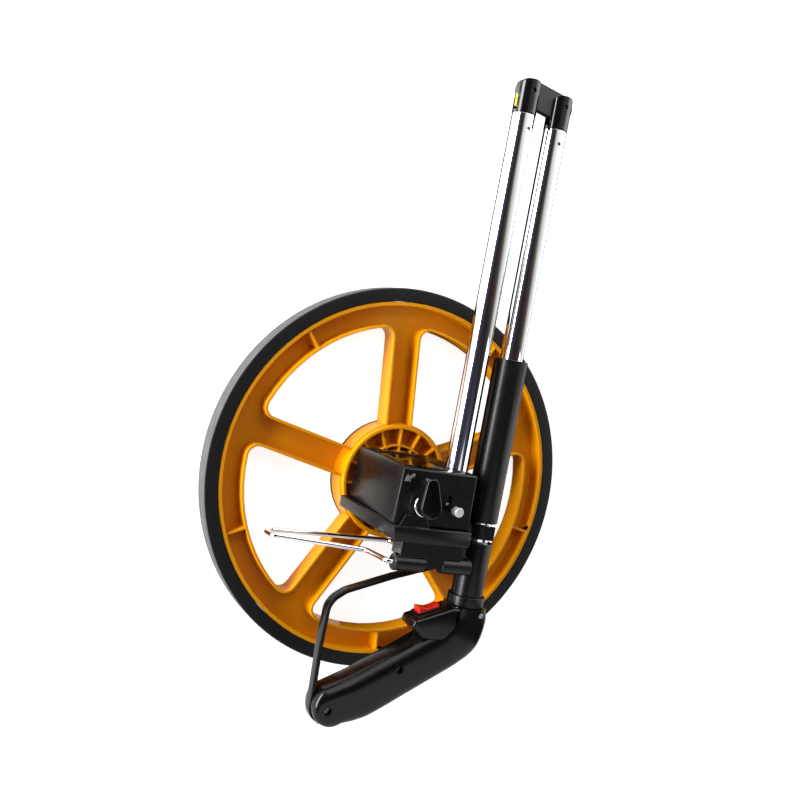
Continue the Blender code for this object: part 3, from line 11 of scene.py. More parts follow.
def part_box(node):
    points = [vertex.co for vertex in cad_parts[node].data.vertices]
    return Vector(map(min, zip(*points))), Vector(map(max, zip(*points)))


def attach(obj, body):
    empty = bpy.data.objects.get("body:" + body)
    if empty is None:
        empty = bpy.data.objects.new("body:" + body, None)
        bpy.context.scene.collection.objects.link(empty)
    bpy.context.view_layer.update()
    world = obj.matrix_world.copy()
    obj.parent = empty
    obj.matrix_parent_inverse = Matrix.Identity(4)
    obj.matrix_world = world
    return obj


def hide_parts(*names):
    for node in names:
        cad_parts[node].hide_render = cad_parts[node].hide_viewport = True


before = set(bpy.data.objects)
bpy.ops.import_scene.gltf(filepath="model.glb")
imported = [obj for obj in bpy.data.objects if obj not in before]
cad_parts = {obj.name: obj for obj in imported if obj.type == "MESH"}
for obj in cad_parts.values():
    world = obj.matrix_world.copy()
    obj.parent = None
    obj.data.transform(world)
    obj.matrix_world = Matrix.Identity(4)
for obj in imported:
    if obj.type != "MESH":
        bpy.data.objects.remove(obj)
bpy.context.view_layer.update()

# Units
MM = 0.001
DEG = math.pi / 180.0
TAU = 2.0 * math.pi

# Mesh making
WELD = 2e-6
SHARP = 38.0 * DEG
TURN_STEPS = 160
WIRE_SIDES = 28
ARC_STEPS = 6
FLAT_LIMIT = 0.4 * DEG
REFINE_LIMIT = 32.0 * DEG
CUTTER_EDGE = 0.05 * MM
SOFT_EDGE = 0.3 * MM
ROUND_EDGE = 0.4 * MM
WIDE_EDGE = 0.5 * MM
UP = (0, 0, 1)
ALONG = (0, 1, 0)

# Camera, fitted to the picture: right, down and forward are its own directions
LENS = 43.13
SENSOR = 36.0
CAMERA_PLACE = (-0.3587, 0.0989, 0.7241)
CAMERA_RIGHT = (0.8835, 0.1835, 0.4311)
CAMERA_DOWN = (0.1466, -0.9822, 0.1175)
CAMERA_FORWARD = (0.4449, -0.0406, -0.8946)

# Axes and main sizes, as the solids have them
TUBE_Z = 87.0 * MM
TUBE_RADIUS = 9.0 * MM
TUBE_BORE = 7.8 * MM
LOWER_X = 16.9 * MM
UPPER_X = 47.3 * MM
LUG_Y = -48.3 * MM
GRIP_SEAM = 0.2 * MM
TYRE_OUTER = 159.0 * MM
TYRE_INNER = 148.0 * MM
TYRE_WIDTH = 18.5 * MM
TYRE_ROUND = 1.8 * MM
TYRE_HEEL_ROUND = 0.2 * MM
TREAD_GROOVE = 0.5 * MM

# Colours, linear
RUBBER = (0.004, 0.004, 0.0045)
# The tread's grey is partly dust and scuffing, partly painted light standing in for the brightly lit tread
TREAD_DUST_AND_PAINTED_LIGHT = (0.11, 0.11, 0.114)
AMBER = (0.76, 0.295, 0.0006)
BLACK = (0.0035, 0.0035, 0.0037)
GREY_MARK = (0.2, 0.2, 0.205)
CHROME = (0.86, 0.865, 0.88)
STEEL = (0.5, 0.5, 0.52)
DARK_METAL = (0.035, 0.035, 0.037)
RED = (0.72, 0.012, 0.008)
WHITE = (0.8, 0.8, 0.78)
NYLON = (0.66, 0.64, 0.56)
LEAD_YELLOW = (0.78, 0.66, 0.05)
STUD_GREY = (0.7, 0.71, 0.7)
# A near-black for painted shade: discs where the tubes' holes are, and the hinge pins' ends
PAINTED_HOLE_SHADE = (0.002, 0.002, 0.002)
WINDOW_TINT = (0.62, 0.65, 0.67)

# Lamps: name, place, aim, size, power and whether polished surfaces show it
LAMPS = (
    ("left_softbox", (-1.32, 0.25, 0.28), (0, 0.1, 0.04), (1.6, 0.5), 46.0, True),
    ("high_softbox", (-0.2, 1.0, 1.3), (0, 0.05, 0.05), (0.8, 0.6), 4.0, False),
    ("right_softbox", (1.3, -0.1, 0.7), (0, 0.05, 0.05), (0.5, 1.2), 3.5, True),
)
WORLD_FILL = 0.2

# Floor
FLOOR_HALF = 4.0
FLOOR_DROP = 0.0002
FLOOR_GLOW = 0.8
FLOOR_DARK = (0.8, 0.8, 0.8)
FLOOR_LIGHT = (0.83, 0.83, 0.83)

# Cards seen only in polished surfaces: a dark one under the tubes, a bright one beyond their top end and
# a bright one low at the left of the hinge, each with its centre, half side, half rise and glow
CARDS = (
    ("under_card", (0.12, 0.12, -FLOOR_DROP / 2), (0.135, 0, 0), (0, 0.4, 0), 0.0),
    ("far_card", (0.2, 1.5, 0.9), (1.0, 0, 0), (0, 0, 0.7), 2.5),
    ("low_card", (-0.1, 0.36, FLOOR_DROP), (0.05, 0, 0), (0, 0.13, 0), 7.0),
)

# A barrel-shaped reflector over the object, seen only in polished surfaces, with its bands at degrees
# from the top
ARCH_RADIUS = 2.4
ARCH_LENGTH = 2.6
ARCH_MIDDLE = 0.05
ARCH_ROWS = 61
ARCH_COLUMNS = 13
ARCH_FROM = -82.0
ARCH_TO = 96.0
ARCH_BANDS = (
    (-82.0, (1.0, 1.0, 1.0)), (-69.0, (1.0, 1.0, 1.0)), (-62.0, (0.09, 0.09, 0.13)),
    (-46.0, (0.043, 0.04, 0.055)), (-30.0, (0.024, 0.017, 0.018)), (-12.0, (0.045, 0.033, 0.032)),
    (3.0, (0.08, 0.06, 0.055)), (12.0, (0.12, 0.11, 0.1)), (22.0, (0.34, 0.34, 0.3)),
    (36.0, (0.66, 0.67, 0.61)), (50.0, (0.86, 0.87, 0.83)), (60.0, (1.0, 1.0, 1.0)), (74.0, (1.0, 1.0, 1.0)),
    (79.0, (4.0, 4.0, 4.0)),
)
# The light half of the bands stands further to the right towards the near end of the tubes
SKEW_MIDDLE = 0.57
SKEW_SLOPE = 75.0 * DEG
SKEW_FROM = -40.0 * DEG

# Wheel
TREAD_PLACES = (0.3, 0.7)
MOULDING_EDGE = 0.45 * MM
HUB_BORE = 4.3 * MM
HUB_RING_INNER = 28.9 * MM
HUB_RING_OUTER = 30.5 * MM
HUB_FLOOR = 5.0 * MM
HUB_RING_FRONT = 20.6 * MM

# Holes in the tubes, drawn as near-black discs of painted shade set into the tube: name, body, place across
# and along, turn round the tube
HOLE_RADIUS = 1.5 * MM
HOLE_PROUD = 0.1 * MM
HOLE_DEEP = 1.0 * MM
HOLE_EDGE = 0.08 * MM
TUBE_HOLES = (
    ("lower_tube_hole", "frame", LOWER_X, 288.4 * MM, 10.0 * DEG),
    ("upper_tube_hole", "handle", UPPER_X, 284.4 * MM, 2.0 * DEG),
)

# Hinge forks: two leaves about a slot, on a plug in the tube's end
FORK_RADIUS = 9.3 * MM
FORK_EDGE = 0.7 * MM
FORK_END = 8.2 * MM
FORK_SQUARE = 2.7
FORK_HOLE = 1.9 * MM
SLOT_HALF = 3.5 * MM
SLOT_DROP = 15.2 * MM
PLUG_DROP = 17.5 * MM
SPIGOT_DROP = 31.5 * MM
SPIGOT_RADIUS = 7.5 * MM
LOWER_PIN_Y = 317.0 * MM
UPPER_PIN_Y = 312.6 * MM
LEAF_LEVELS = 26
LEAF_POINTS = 24
LEAF_THIN = 0.9 * MM
LEAF_BELOW = 1.0 * MM
LEAF_SHARP = 50.0 * DEG
LEAF_FADE_FROM = 0.9
LEAF_FADE_OVER = 0.1
FORK_HOLE_REACH = 12.0 * MM
PLUG_BORE = 2.2 * MM
PLUG_EDGES = np.array([0.1, 0.3, 0.1, 0.4, 0.2, 0.2]) * MM

# The link's rim closes over the lead round both ends, all but a low opening
LIP_RADIUS = 9.77 * MM
LIP_SECTION = np.array([(-0.2, -1.7), (0.2, -1.7), (0.2, 1.7), (-0.2, 1.7)]) * MM
LIP_OVER = 72.0 * DEG
LIP_TO = 208.0 * DEG
LIP_UPPER_TO = -28.0 * DEG
LIP_STEPS = 40

# Lock sleeve
SLEEVE_RADIUS = 13.3 * MM
SLEEVE_BORE = 11.9 * MM
SLEEVE_COLLAR = 9.0 * MM
SLEEVE_EDGES = np.array([0.2, 0.6, 0.6, 0.4, 0.2, 0.2]) * MM
SLIDE_CLEAR = 0.3 * MM

# Window
WINDOW_EDGE = 0.2 * MM

# Reset collar and lever
COLLAR_BORE = 2.8 * MM
COLLAR_EDGE = 0.8 * MM
COLLAR_FLARE = 0.4 * MM
LEVER_END = 8.2 * MM
LEVER_TIP = 4.8 * MM
LEVER_LENGTH = 16.8 * MM
LEVER_TURN = 7.5 * DEG
LEVER_EDGE = 0.8 * MM
LEVER_REAR_EDGE = 0.4 * MM

# Brake
BRAKE_HEAD = 3.5 * MM
BRAKE_HEAD_HIGH = 7.0 * MM
BRAKE_STEM = 1.8 * MM
BRAKE_FLANGE = BRAKE_STEM + 1.4 * MM
BRAKE_FLANGE_FRONT = 101.9 * MM
BRAKE_EDGES = np.array([0, 0.2, 0.2, 0.1, 0.1, 0.3, 0.6, 0]) * MM
BRAKE_COLLAR_BORE = 2.1 * MM
SHUTTER = [(-4.2, -9.6), (4.2, -9.6), (4.2, 10.4), (-4.2, 10.4)]
SHUTTER_ROUND = 1.5 * MM
SHUTTER_EDGE = 0.2 * MM
SHUTTER_REAR = 100.5 * MM
SHUTTER_FRONT = 101.7 * MM

# Arrow on the cover
COVER_FRONT = 104.0 * MM
ARROW_RISE = 0.25 * MM
ARROW_PLACE = (-26.6 * MM, 18.4 * MM)
ARROW_TURN = 215.0 * DEG
ARROW = [(0, 1.2), (5.0, 1.2), (5.0, 3.3), (9.8, 0), (5.0, -3.3), (5.0, -1.2), (0, -1.2)]
ARROW_EDGE = 0.1 * MM

# Stand: points of the wire across and up
STAND_POINTS = [(-6.6, 100.0), (-33.8, 100.0), (-38.5, 70.0), (-106.0, 47.0), (-108.0, 34.0), (-102.0, 27.0),
                (2.8, 27.0), (2.8, 100.0), (28.2, 100.0)]
STAND_WIRE = 2.0 * MM
STAND_BEND = 5.0 * MM

# Ferrule
FERRULE_BORE = 12.8 * MM
FERRULE_EDGE = 0.6 * MM

# Grip stations: centre across, centre along, turn of the section, half height, half thickness
GRIP_STATIONS = np.array([
    (47.4, -80.8, 0.0, 14.9, 14.6), (47.2, -91.0, 4.0, 16.6, 14.8), (42.5, -103.5, 27.0, 18.6, 15.2),
    (33.0, -112.5, 50.0, 17.8, 15.0), (18.0, -122.2, 58.0, 17.6, 14.8), (-4.0, -135.8, 58.5, 17.6, 14.6),
    (-30.0, -151.6, 58.5, 17.8, 14.4), (-43.0, -157.6, 57.0, 17.4, 14.2), (-54.0, -161.6, 55.0, 16.2, 13.8),
])
GRIP_SQUARE = 3.8
BUTT_RADIUS = 16.2
BUTT_AHEAD = (-0.819, -0.574)
BUTT_ROWS = 22
BUTT_THIN = 5.2
GRIP_ROWS = 90
GRIP_SIDES = 72

# Grip screws: place across and along, radius, head above the middle plane, in millimetres
SCREWS = ((-7.2, -130.8, 2.6, 9.6), (-59.3, -164.0, 2.6, 9.6), (55.2, -86.0, 1.9, 14.2))
SCREW_EDGE = 0.35 * MM
WELL_CLEAR = 0.45 * MM
WELL_BELOW = 1.2
WELL_TOP = 20.0 * MM
WELL_EDGE = 0.1 * MM
CROSS_TURN = 0.4
CROSS_REACH = 0.65
CROSS_HALF = 0.11
CROSS_DEEP = 0.8 * MM
CROSS_OVER = 1.0 * MM

# Switch housing and switch
HOUSING = [(36.0, -81.2), (30.2, -81.2), (-1.5, -92.4), (-2.6, -97.5), (8.0, -106.0), (36.0, -108.0)]
HOUSING_NEAR = 14.4 * MM
HOUSING_FAR = 9.0 * MM
HOUSING_ROUND = 2.4 * MM
SWITCH_CENTRE = (14.0 * MM, -86.9 * MM)
SWITCH_TURN = 19.4 * DEG
HOUSING_CORNERS = np.array([1.0, 2.5, 3.0, 3.0, 4.0, 1.0]) * MM
POCKET = [(-10.8, -6.8), (10.8, -6.8), (10.8, 6.8), (-10.8, 6.8)]
POCKET_REAR = -12.0 * MM
POCKET_FRONT = 8.0 * MM
ROCKER_HALF = 8.8 * MM
ROCKER_RISE = 4.4 * MM
ROCKER_VALLEY = 2.4 * MM
ROCKER_TILT = -9.0 * DEG
ROCKER_BELOW = 5.0 * MM
ROCKER_WIDTH = 9.6 * MM
ROCKER_EDGE = 0.5 * MM

# Hand guard
GUARD_LINE = [(35.4, -45.6), (15.0, -51.6), (-21.7, -62.8), (-57.6, -75.8), (-69.6, -84.6), (-70.4, -114.7),
              (-69.4, -150.0), (-69.3, -169.5), (-60.3, -175.8)]
GUARD_WIDTH = 9.0 * MM
GUARD_THICK = 3.2 * MM
GUARD_BEND = 15.0 * MM
GUARD_EDGE = 0.9 * MM


# Shapes


def smooth(mesh, sharp):
    """Smooth shading up to an angle."""
    for face in mesh.polygons:
        face.use_smooth = True
    mesh.set_sharp_from_angle(angle=sharp)


def finished(name, points, faces, sharp=SHARP):
    """A mesh object with welded points, outward faces and smooth shading up to an angle."""
    mesh = bpy.data.meshes.new(name)
    mesh.from_pydata(np.asarray(points, float).reshape(-1, 3).tolist(), [], faces)
    work = bmesh.new()
    work.from_mesh(mesh)
    bmesh.ops.remove_doubles(work, verts=work.verts, dist=WELD)
    bmesh.ops.recalc_face_normals(work, faces=work.faces)
    work.to_mesh(mesh)
    work.free()
    smooth(mesh, sharp)
    made = bpy.data.objects.new(name, mesh)
    bpy.context.scene.collection.objects.link(made)
    return made


def grid_faces(rows, columns, wrap_rows, wrap_columns):
    """Quads of a grid of points, each row's and column's last joined to its first where it wraps."""
    row = np.arange(rows if wrap_rows else rows - 1)[:, None]
    column = np.arange(columns if wrap_columns else columns - 1)[None, :]
    next_row = (row + 1) % rows
    next_column = (column + 1) % columns
    quads = [row * columns + column, row * columns + next_column]
    quads += [next_row * columns + next_column, next_row * columns + column]
    return np.stack(np.broadcast_arrays(*quads), -1).reshape(-1, 4).tolist()


def capped_faces(rows, columns):
    """Faces of a tube of points: quads round it and one face over each end."""
    ends = [list(range(columns)), list(range((rows - 1) * columns, rows * columns))]
    return grid_faces(rows, columns, False, True) + ends


def turn_to(axis):
    """The rotation that takes +Z to the given direction, as an array."""
    return np.array(Vector((0, 0, 1)).rotation_difference(Vector(axis)).to_matrix())


def revolved(name, profile, place=(0, 0, 0), axis=(0, 0, 1), steps=TURN_STEPS):
    """Radius r and height h turned about an axis: (r cos t, r sin t, h), with t once round."""
    radius, height = np.asarray(profile, float).T
    turn = np.linspace(0, TAU, steps, endpoint=False)[:, None]
    flat = np.stack(np.broadcast_arrays(radius * np.cos(turn), radius * np.sin(turn), height), -1)
    points = flat @ turn_to(axis).T + np.asarray(place)
    closed_ring = not (radius[0] == 0 and radius[-1] == 0)
    return finished(name, points, grid_faces(steps, len(radius), True, closed_ring))


def filleted(corners, radii, closed=True, steps=ARC_STEPS):
    """A path or outline whose corners are arcs tangent to both sides."""
    corners = [np.asarray(corner, float) for corner in corners]
    count = len(corners)
    radii = [radii] * count if np.isscalar(radii) else list(radii)
    path = []
    for k, corner in enumerate(corners):
        if (not closed and k in (0, count - 1)) or radii[k] == 0:
            path.append(corner)
            continue
        back = corners[k - 1] - corner
        ahead = corners[(k + 1) % count] - corner
        back_length, ahead_length = np.linalg.norm(back), np.linalg.norm(ahead)
        back, ahead = back / back_length, ahead / ahead_length
        half = math.acos(np.clip(back @ ahead, -1, 1)) / 2
        if half > math.pi / 2 - 1e-3:
            path.append(corner)
            continue
        reach = min(radii[k] / math.tan(half), back_length / 2, ahead_length / 2)
        bisector = (back + ahead) / np.linalg.norm(back + ahead)
        middle = corner + bisector * reach / math.cos(half)
        first, last = corner + back * reach - middle, corner + ahead * reach - middle
        sweep = math.pi - 2 * half
        for share in np.linspace(0, 1, steps + 1):
            before, after = math.sin((1 - share) * sweep), math.sin(share * sweep)
            path.append(middle + (first * before + last * after) / math.sin(sweep))
    return np.array(path)


def arc(centre, radius, start, end, steps):
    """Points on a circle from one angle to another."""
    turn = np.linspace(start, end, steps + 1)
    return np.stack([centre[0] + radius * np.cos(turn), centre[1] + radius * np.sin(turn)], -1)


def inset_directions(outline):
    """Inward direction at each point of a closed outline, lengthened so that the sides move evenly."""
    ahead = np.roll(outline, -1, axis=0) - outline
    ahead /= np.linalg.norm(ahead, axis=1, keepdims=True)
    behind = np.roll(ahead, 1, axis=0)
    area = np.sum(outline[:, 0] * np.roll(outline[:, 1], -1) - outline[:, 1] * np.roll(outline[:, 0], -1))
    normals = [np.stack([-side[:, 1], side[:, 0]], -1) * np.sign(area) for side in (ahead, behind)]
    bisector = normals[0] + normals[1]
    bisector /= np.linalg.norm(bisector, axis=1, keepdims=True)
    return bisector / np.maximum(np.sum(bisector * normals[0], axis=1, keepdims=True), 0.4)


def moulded(name, outline, rear, front, edge, place=None, rear_edge=None, steps=4):
    """An outline raised between two heights with round rims: a layer at turn a lies edge (1 - cos a) inside
    the outline and edge (1 - sin a) below the face."""
    outline = np.asarray(outline, float)
    inward = inset_directions(outline)
    rear_edge = edge if rear_edge is None else rear_edge
    turns = np.linspace(0, math.pi / 2, steps + 1)
    layers = [(rear_edge * (1 - math.sin(a)), rear + rear_edge * (1 - math.cos(a))) for a in turns]
    layers += [(edge * (1 - math.cos(a)), front - edge * (1 - math.sin(a))) for a in turns]
    rings = [np.column_stack([outline + inward * inset, np.full(len(outline), z)]) for inset, z in layers]
    points = np.array(rings)
    faces = capped_faces(len(rings), len(outline))
    if place is not None:
        turn = np.array(place.to_3x3())
        points = points @ turn.T + np.array(place.translation)
    return finished(name, points, faces)


def carried(name, outline, path, up):
    """An outline carried along a flat path: its first value lies across the path, its second along up."""
    path = np.asarray(path, float)
    outline = np.asarray(outline, float)
    up = np.asarray(up, float)
    along = np.gradient(path, axis=0)
    along /= np.linalg.norm(along, axis=1, keepdims=True)
    side = np.cross(up, along)
    points = path[:, None] + side[:, None] * outline[None, :, :1] + up * outline[None, :, 1:]
    return finished(name, points, capped_faces(len(path), len(outline)))


def turned(points, turn):
    """Flat points turned about the origin."""
    spin = np.array([[math.cos(turn), -math.sin(turn)], [math.sin(turn), math.cos(turn)]])
    return np.asarray(points) @ spin.T


def ring(name, inner, outer, rear, front, edge, place=(0, 0, 0), axis=(0, 0, 1), steps=TURN_STEPS):
    """A turned ring with rounded rims."""
    corners = [(inner, rear), (outer, rear), (outer, front), (inner, front)]
    return revolved(name, filleted(corners, edge), place, axis, steps)


def pin(name, radius, rear, front, edge, place=(0, 0, 0), axis=(0, 0, 1), steps=64):
    """A turned pin with rounded ends."""
    corners = [(0, rear), (radius, rear), (radius, front), (0, front)]
    return revolved(name, filleted(corners, [0, edge, edge, 0], closed=False), place, axis, steps)


def flat_sheet(name, centre, side, rise, columns=9):
    """A sheet centre + u side + v rise, with u and v from -1 to 1."""
    u, v = np.meshgrid(np.linspace(-1, 1, columns), np.linspace(-1, 1, columns))
    points = np.asarray(centre) + u[..., None] * np.asarray(side) + v[..., None] * np.asarray(rise)
    return finished(name, points, grid_faces(columns, columns, False, False))


def carve(target, *cutters):
    """Takes the cutters' volume from a piece and removes the cutters."""
    for cutter in cutters:
        modifier = target.modifiers.new("carve", "BOOLEAN")
        modifier.operation = "DIFFERENCE"
        modifier.solver = "EXACT"
        modifier.object = cutter
    bpy.context.view_layer.update()
    worked = target.evaluated_get(bpy.context.evaluated_depsgraph_get())
    target_mesh = bpy.data.meshes.new_from_object(worked)
    target.modifiers.clear()
    target.data = target_mesh
    smooth(target_mesh, SHARP)
    for cutter in cutters:
        bpy.data.objects.remove(cutter, do_unlink=True)


def refined(name, node, width, segments=2):
    """A welded copy of a CAD node's mesh, its flat faces joined up and its edges rounded."""
    work = bmesh.new()
    work.from_mesh(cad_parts[node].data)
    bmesh.ops.remove_doubles(work, verts=work.verts, dist=WELD)
    bmesh.ops.dissolve_limit(work, angle_limit=FLAT_LIMIT, verts=work.verts, edges=work.edges)
    mesh = bpy.data.meshes.new(name)
    work.to_mesh(mesh)
    work.free()
    smooth(mesh, REFINE_LIMIT)
    made = bpy.data.objects.new(name, mesh)
    bpy.context.scene.collection.objects.link(made)
    bevel = made.modifiers.new("rounded_edges", "BEVEL")
    bevel.width = width
    bevel.segments = segments
    bevel.limit_method = "ANGLE"
    bevel.angle_limit = REFINE_LIMIT
    bevel.use_clamp_overlap = False
    bevel.harden_normals = True
    return made


# Finishes


def new_material(name):
    """A material with its shader, its nodes, its links and Object coordinates."""
    made = bpy.data.materials.new(name)
    made.use_nodes = True
    nodes, links = made.node_tree.nodes, made.node_tree.links
    shader = nodes["Principled BSDF"]
    coordinates = nodes.new("ShaderNodeTexCoord").outputs["Object"]
    return made, shader, nodes, links, coordinates


def noise(nodes, links, source, scale, detail=3.0, stretch=(1, 1, 1)):
    """A noise pattern of so many cells a metre, stretched along the axes."""
    mapping = nodes.new("ShaderNodeMapping")
    mapping.inputs["Scale"].default_value = stretch
    links.new(source, mapping.inputs["Vector"])
    texture = nodes.new("ShaderNodeTexNoise")
    texture.inputs["Scale"].default_value = scale
    texture.inputs["Detail"].default_value = detail
    links.new(mapping.outputs["Vector"], texture.inputs["Vector"])
    return texture.outputs["Fac"]


def spread(nodes, links, value, low, high):
    """Maps a pattern's middle range to a range of values."""
    ranged = nodes.new("ShaderNodeMapRange")
    ranged.inputs["From Min"].default_value = 0.3
    ranged.inputs["From Max"].default_value = 0.7
    ranged.inputs["To Min"].default_value = low
    ranged.inputs["To Max"].default_value = high
    links.new(value, ranged.inputs["Value"])
    return ranged.outputs["Result"]


def tint(nodes, links, value, dark, light):
    """Mixes two colours by a pattern."""
    mix = nodes.new("ShaderNodeMix")
    mix.data_type = "RGBA"
    mix.inputs["A"].default_value = (*dark, 1)
    mix.inputs["B"].default_value = (*light, 1)
    links.new(value, mix.inputs["Factor"])
    return mix.outputs["Result"]


def finish_of(name, colour, roughness, metallic=0.0, mottle=0.08, mottle_scale=60.0, grain_scale=1800.0,
              grain_depth=0.02, stretch=(1, 1, 1), wear=0.06, **sockets):
    """A finish with slow colour mottling, uneven gloss and a fine grain in its surface."""
    made, shader, nodes, links, place = new_material(name)
    slow = noise(nodes, links, place, mottle_scale)
    fine = noise(nodes, links, place, grain_scale, 2.0, stretch)
    uneven = noise(nodes, links, place, mottle_scale * 4, 4.0, stretch)
    dark = tuple(channel * (1 - mottle) for channel in colour)
    light = tuple(min(channel * (1 + mottle), 1.0) for channel in colour)
    links.new(tint(nodes, links, spread(nodes, links, slow, 0, 1), dark, light), shader.inputs["Base Color"])
    gloss = spread(nodes, links, uneven, roughness - wear / 2, roughness + wear)
    links.new(gloss, shader.inputs["Roughness"])
    shader.inputs["Metallic"].default_value = metallic
    bump = nodes.new("ShaderNodeBump")
    bump.inputs["Strength"].default_value = 0.6
    bump.inputs["Distance"].default_value = grain_depth * MM
    links.new(fine, bump.inputs["Height"])
    links.new(bump.outputs["Normal"], shader.inputs["Normal"])
    for socket, value in sockets.items():
        shader.inputs[socket.replace("_", " ")].default_value = value
    return made


AMBER_PLASTIC = finish_of("amber_plastic", AMBER, 0.34, mottle=0.04, mottle_scale=22.0, grain_depth=0.008,
                          Specular_IOR_Level=0.14)
SATIN_BLACK = finish_of("satin_black", BLACK, 0.28, mottle=0.15, grain_scale=1200.0, grain_depth=0.003,
                        wear=0.03, Specular_IOR_Level=0.26)
GRIP_BLACK = finish_of("grip_black", BLACK, 0.15, mottle=0.12, grain_depth=0.004, wear=0.03,
                       Specular_IOR_Level=0.3)
GLOSS_BLACK = finish_of("gloss_black", BLACK, 0.09, mottle=0.12, grain_depth=0.002, wear=0.03,
                        Specular_IOR_Level=0.42)
MIRROR_CHROME = finish_of("mirror_chrome", CHROME, 0.035, 1.0, mottle=0.02, grain_depth=0.002,
                          stretch=(1, 0.03, 1), wear=0.03)
WIRE_CHROME = finish_of("wire_chrome", CHROME, 0.05, 1.0, mottle=0.03, grain_depth=0.002, wear=0.04)
STUD_STEEL = finish_of("stud_steel", STUD_GREY, 0.4, 0.6, mottle=0.05, grain_depth=0.01)
PLAIN_STEEL = finish_of("plain_steel", STEEL, 0.3, 1.0, mottle=0.08, grain_depth=0.01)
LINK_METAL = finish_of("link_metal", DARK_METAL, 0.42, 0.3, mottle=0.1, grain_depth=0.02)
MARK_GREY = finish_of("mark_grey", GREY_MARK, 0.4, mottle=0.06)
SWITCH_RED = finish_of("switch_red", RED, 0.2, mottle=0.04, grain_depth=0.004)
DRUM_WHITE = finish_of("drum_white", WHITE, 0.35, mottle=0.03)
DRUM_RED = finish_of("drum_red", RED, 0.35, mottle=0.03)
GEAR_NYLON = finish_of("gear_nylon", NYLON, 0.45, mottle=0.05)
LEAD_SHEATH = finish_of("lead_sheath", LEAD_YELLOW, 0.4, mottle=0.05)
# Finish of painted shade for the holes' insides
HOLE_SHADE_FINISH = finish_of("painted_hole_shade", PAINTED_HOLE_SHADE, 0.6, mottle=0.1)
STRAP_BLACK = finish_of("strap_black", BLACK, 0.16, mottle=0.12, grain_depth=0.003, wear=0.04,
                        Specular_IOR_Level=0.15)
WINDOW_CLEAR = finish_of("window_clear", WINDOW_TINT, 0.05, mottle=0.01, grain_depth=0.001, wear=0.02,
                         Transmission_Weight=1.0, IOR=1.12)


def tyre_finish():
    """Rubber that is near black on its sides and grey on the tread, told apart by the radius; the tread's
    grey is partly scuffing and dust, partly painted light for the brightly lit tread.
    """
    made, shader, nodes, links, place = new_material("tyre_rubber")
    flat = nodes.new("ShaderNodeVectorMath")
    flat.operation = "MULTIPLY"
    flat.inputs[1].default_value = (1, 1, 0)
    links.new(place, flat.inputs[0])
    radius = nodes.new("ShaderNodeVectorMath")
    radius.operation = "LENGTH"
    links.new(flat.outputs["Vector"], radius.inputs[0])
    tread_dust_and_painted_light = nodes.new("ShaderNodeMapRange")
    tread_dust_and_painted_light.inputs["From Min"].default_value = TYRE_OUTER - TREAD_GROOVE * 2
    tread_dust_and_painted_light.inputs["From Max"].default_value = TYRE_OUTER - TREAD_GROOVE / 2
    links.new(radius.outputs["Value"], tread_dust_and_painted_light.inputs["Value"])
    dust_and_sheen = spread(nodes, links, noise(nodes, links, place, 90.0, 5.0), 0.75, 1.0)
    share = nodes.new("ShaderNodeMath")
    share.operation = "MULTIPLY"
    links.new(tread_dust_and_painted_light.outputs["Result"], share.inputs[0])
    links.new(dust_and_sheen, share.inputs[1])
    # Patchy grey on the tread: partly dust, partly painted light
    links.new(tint(nodes, links, share.outputs["Value"], RUBBER, TREAD_DUST_AND_PAINTED_LIGHT), shader.inputs["Base Color"])
    shader.inputs["Roughness"].default_value = 0.5
    shader.inputs["Specular IOR Level"].default_value = 0.18
    bump = nodes.new("ShaderNodeBump")
    bump.inputs["Strength"].default_value = 0.5
    bump.inputs["Distance"].default_value = 0.04 * MM
    links.new(noise(nodes, links, place, 1500.0), bump.inputs["Height"])
    links.new(bump.outputs["Normal"], shader.inputs["Normal"])
    return made


def dress(piece, body, look, slot, *nodes):
    """Gives a piece its finish and its body, and says which nodes it stands for; its slot is not used."""
    piece.data.materials.clear()
    piece.data.materials.append(look)
    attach(piece, body)
    if nodes:
        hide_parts(*nodes)


def repaint(node, look):
    """A CAD node that keeps its shape gets its finish."""
    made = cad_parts[node]
    made.data.materials.clear()
    made.data.materials.append(look)


# Camera and light

camera_data = bpy.data.cameras.new("camera")
camera_data.lens = LENS
camera_data.sensor_width = SENSOR
camera = bpy.data.objects.new("camera", camera_data)
bpy.context.scene.collection.objects.link(camera)
right, down, forward = Vector(CAMERA_RIGHT), Vector(CAMERA_DOWN), Vector(CAMERA_FORWARD)
camera_turn = Matrix((right, -down, -forward)).transposed().to_4x4()
camera.matrix_world = Matrix.Translation(CAMERA_PLACE) @ camera_turn
bpy.context.scene.camera = camera
bpy.context.scene.view_settings.view_transform = "Standard"


def area_light(name, place, aim, size, power):
    """A soft lamp at a place, turned to a point."""
    data = bpy.data.lights.new(name, "AREA")
    data.shape = "RECTANGLE"
    data.size, data.size_y = size
    data.energy = power
    lamp = bpy.data.objects.new(name, data)
    bpy.context.scene.collection.objects.link(lamp)
    lamp.location = place
    lamp.rotation_euler = (Vector(aim) - Vector(place)).to_track_quat("-Z", "Y").to_euler()
    return lamp


for name, place, aim, size, power, shown in LAMPS:
    area_light(name, place, aim, size, power).visible_glossy = shown


def ray_share(nodes, links):
    """One for rays from the camera, mirrors and glass, and zero for the others."""
    path = nodes.new("ShaderNodeLightPath")
    value = path.outputs["Is Camera Ray"]
    for output in ("Is Glossy Ray", "Is Transmission Ray"):
        most = nodes.new("ShaderNodeMath")
        most.operation = "MAXIMUM"
        links.new(value, most.inputs[0])
        links.new(path.outputs[output], most.inputs[1])
        value = most.outputs["Value"]
    return value


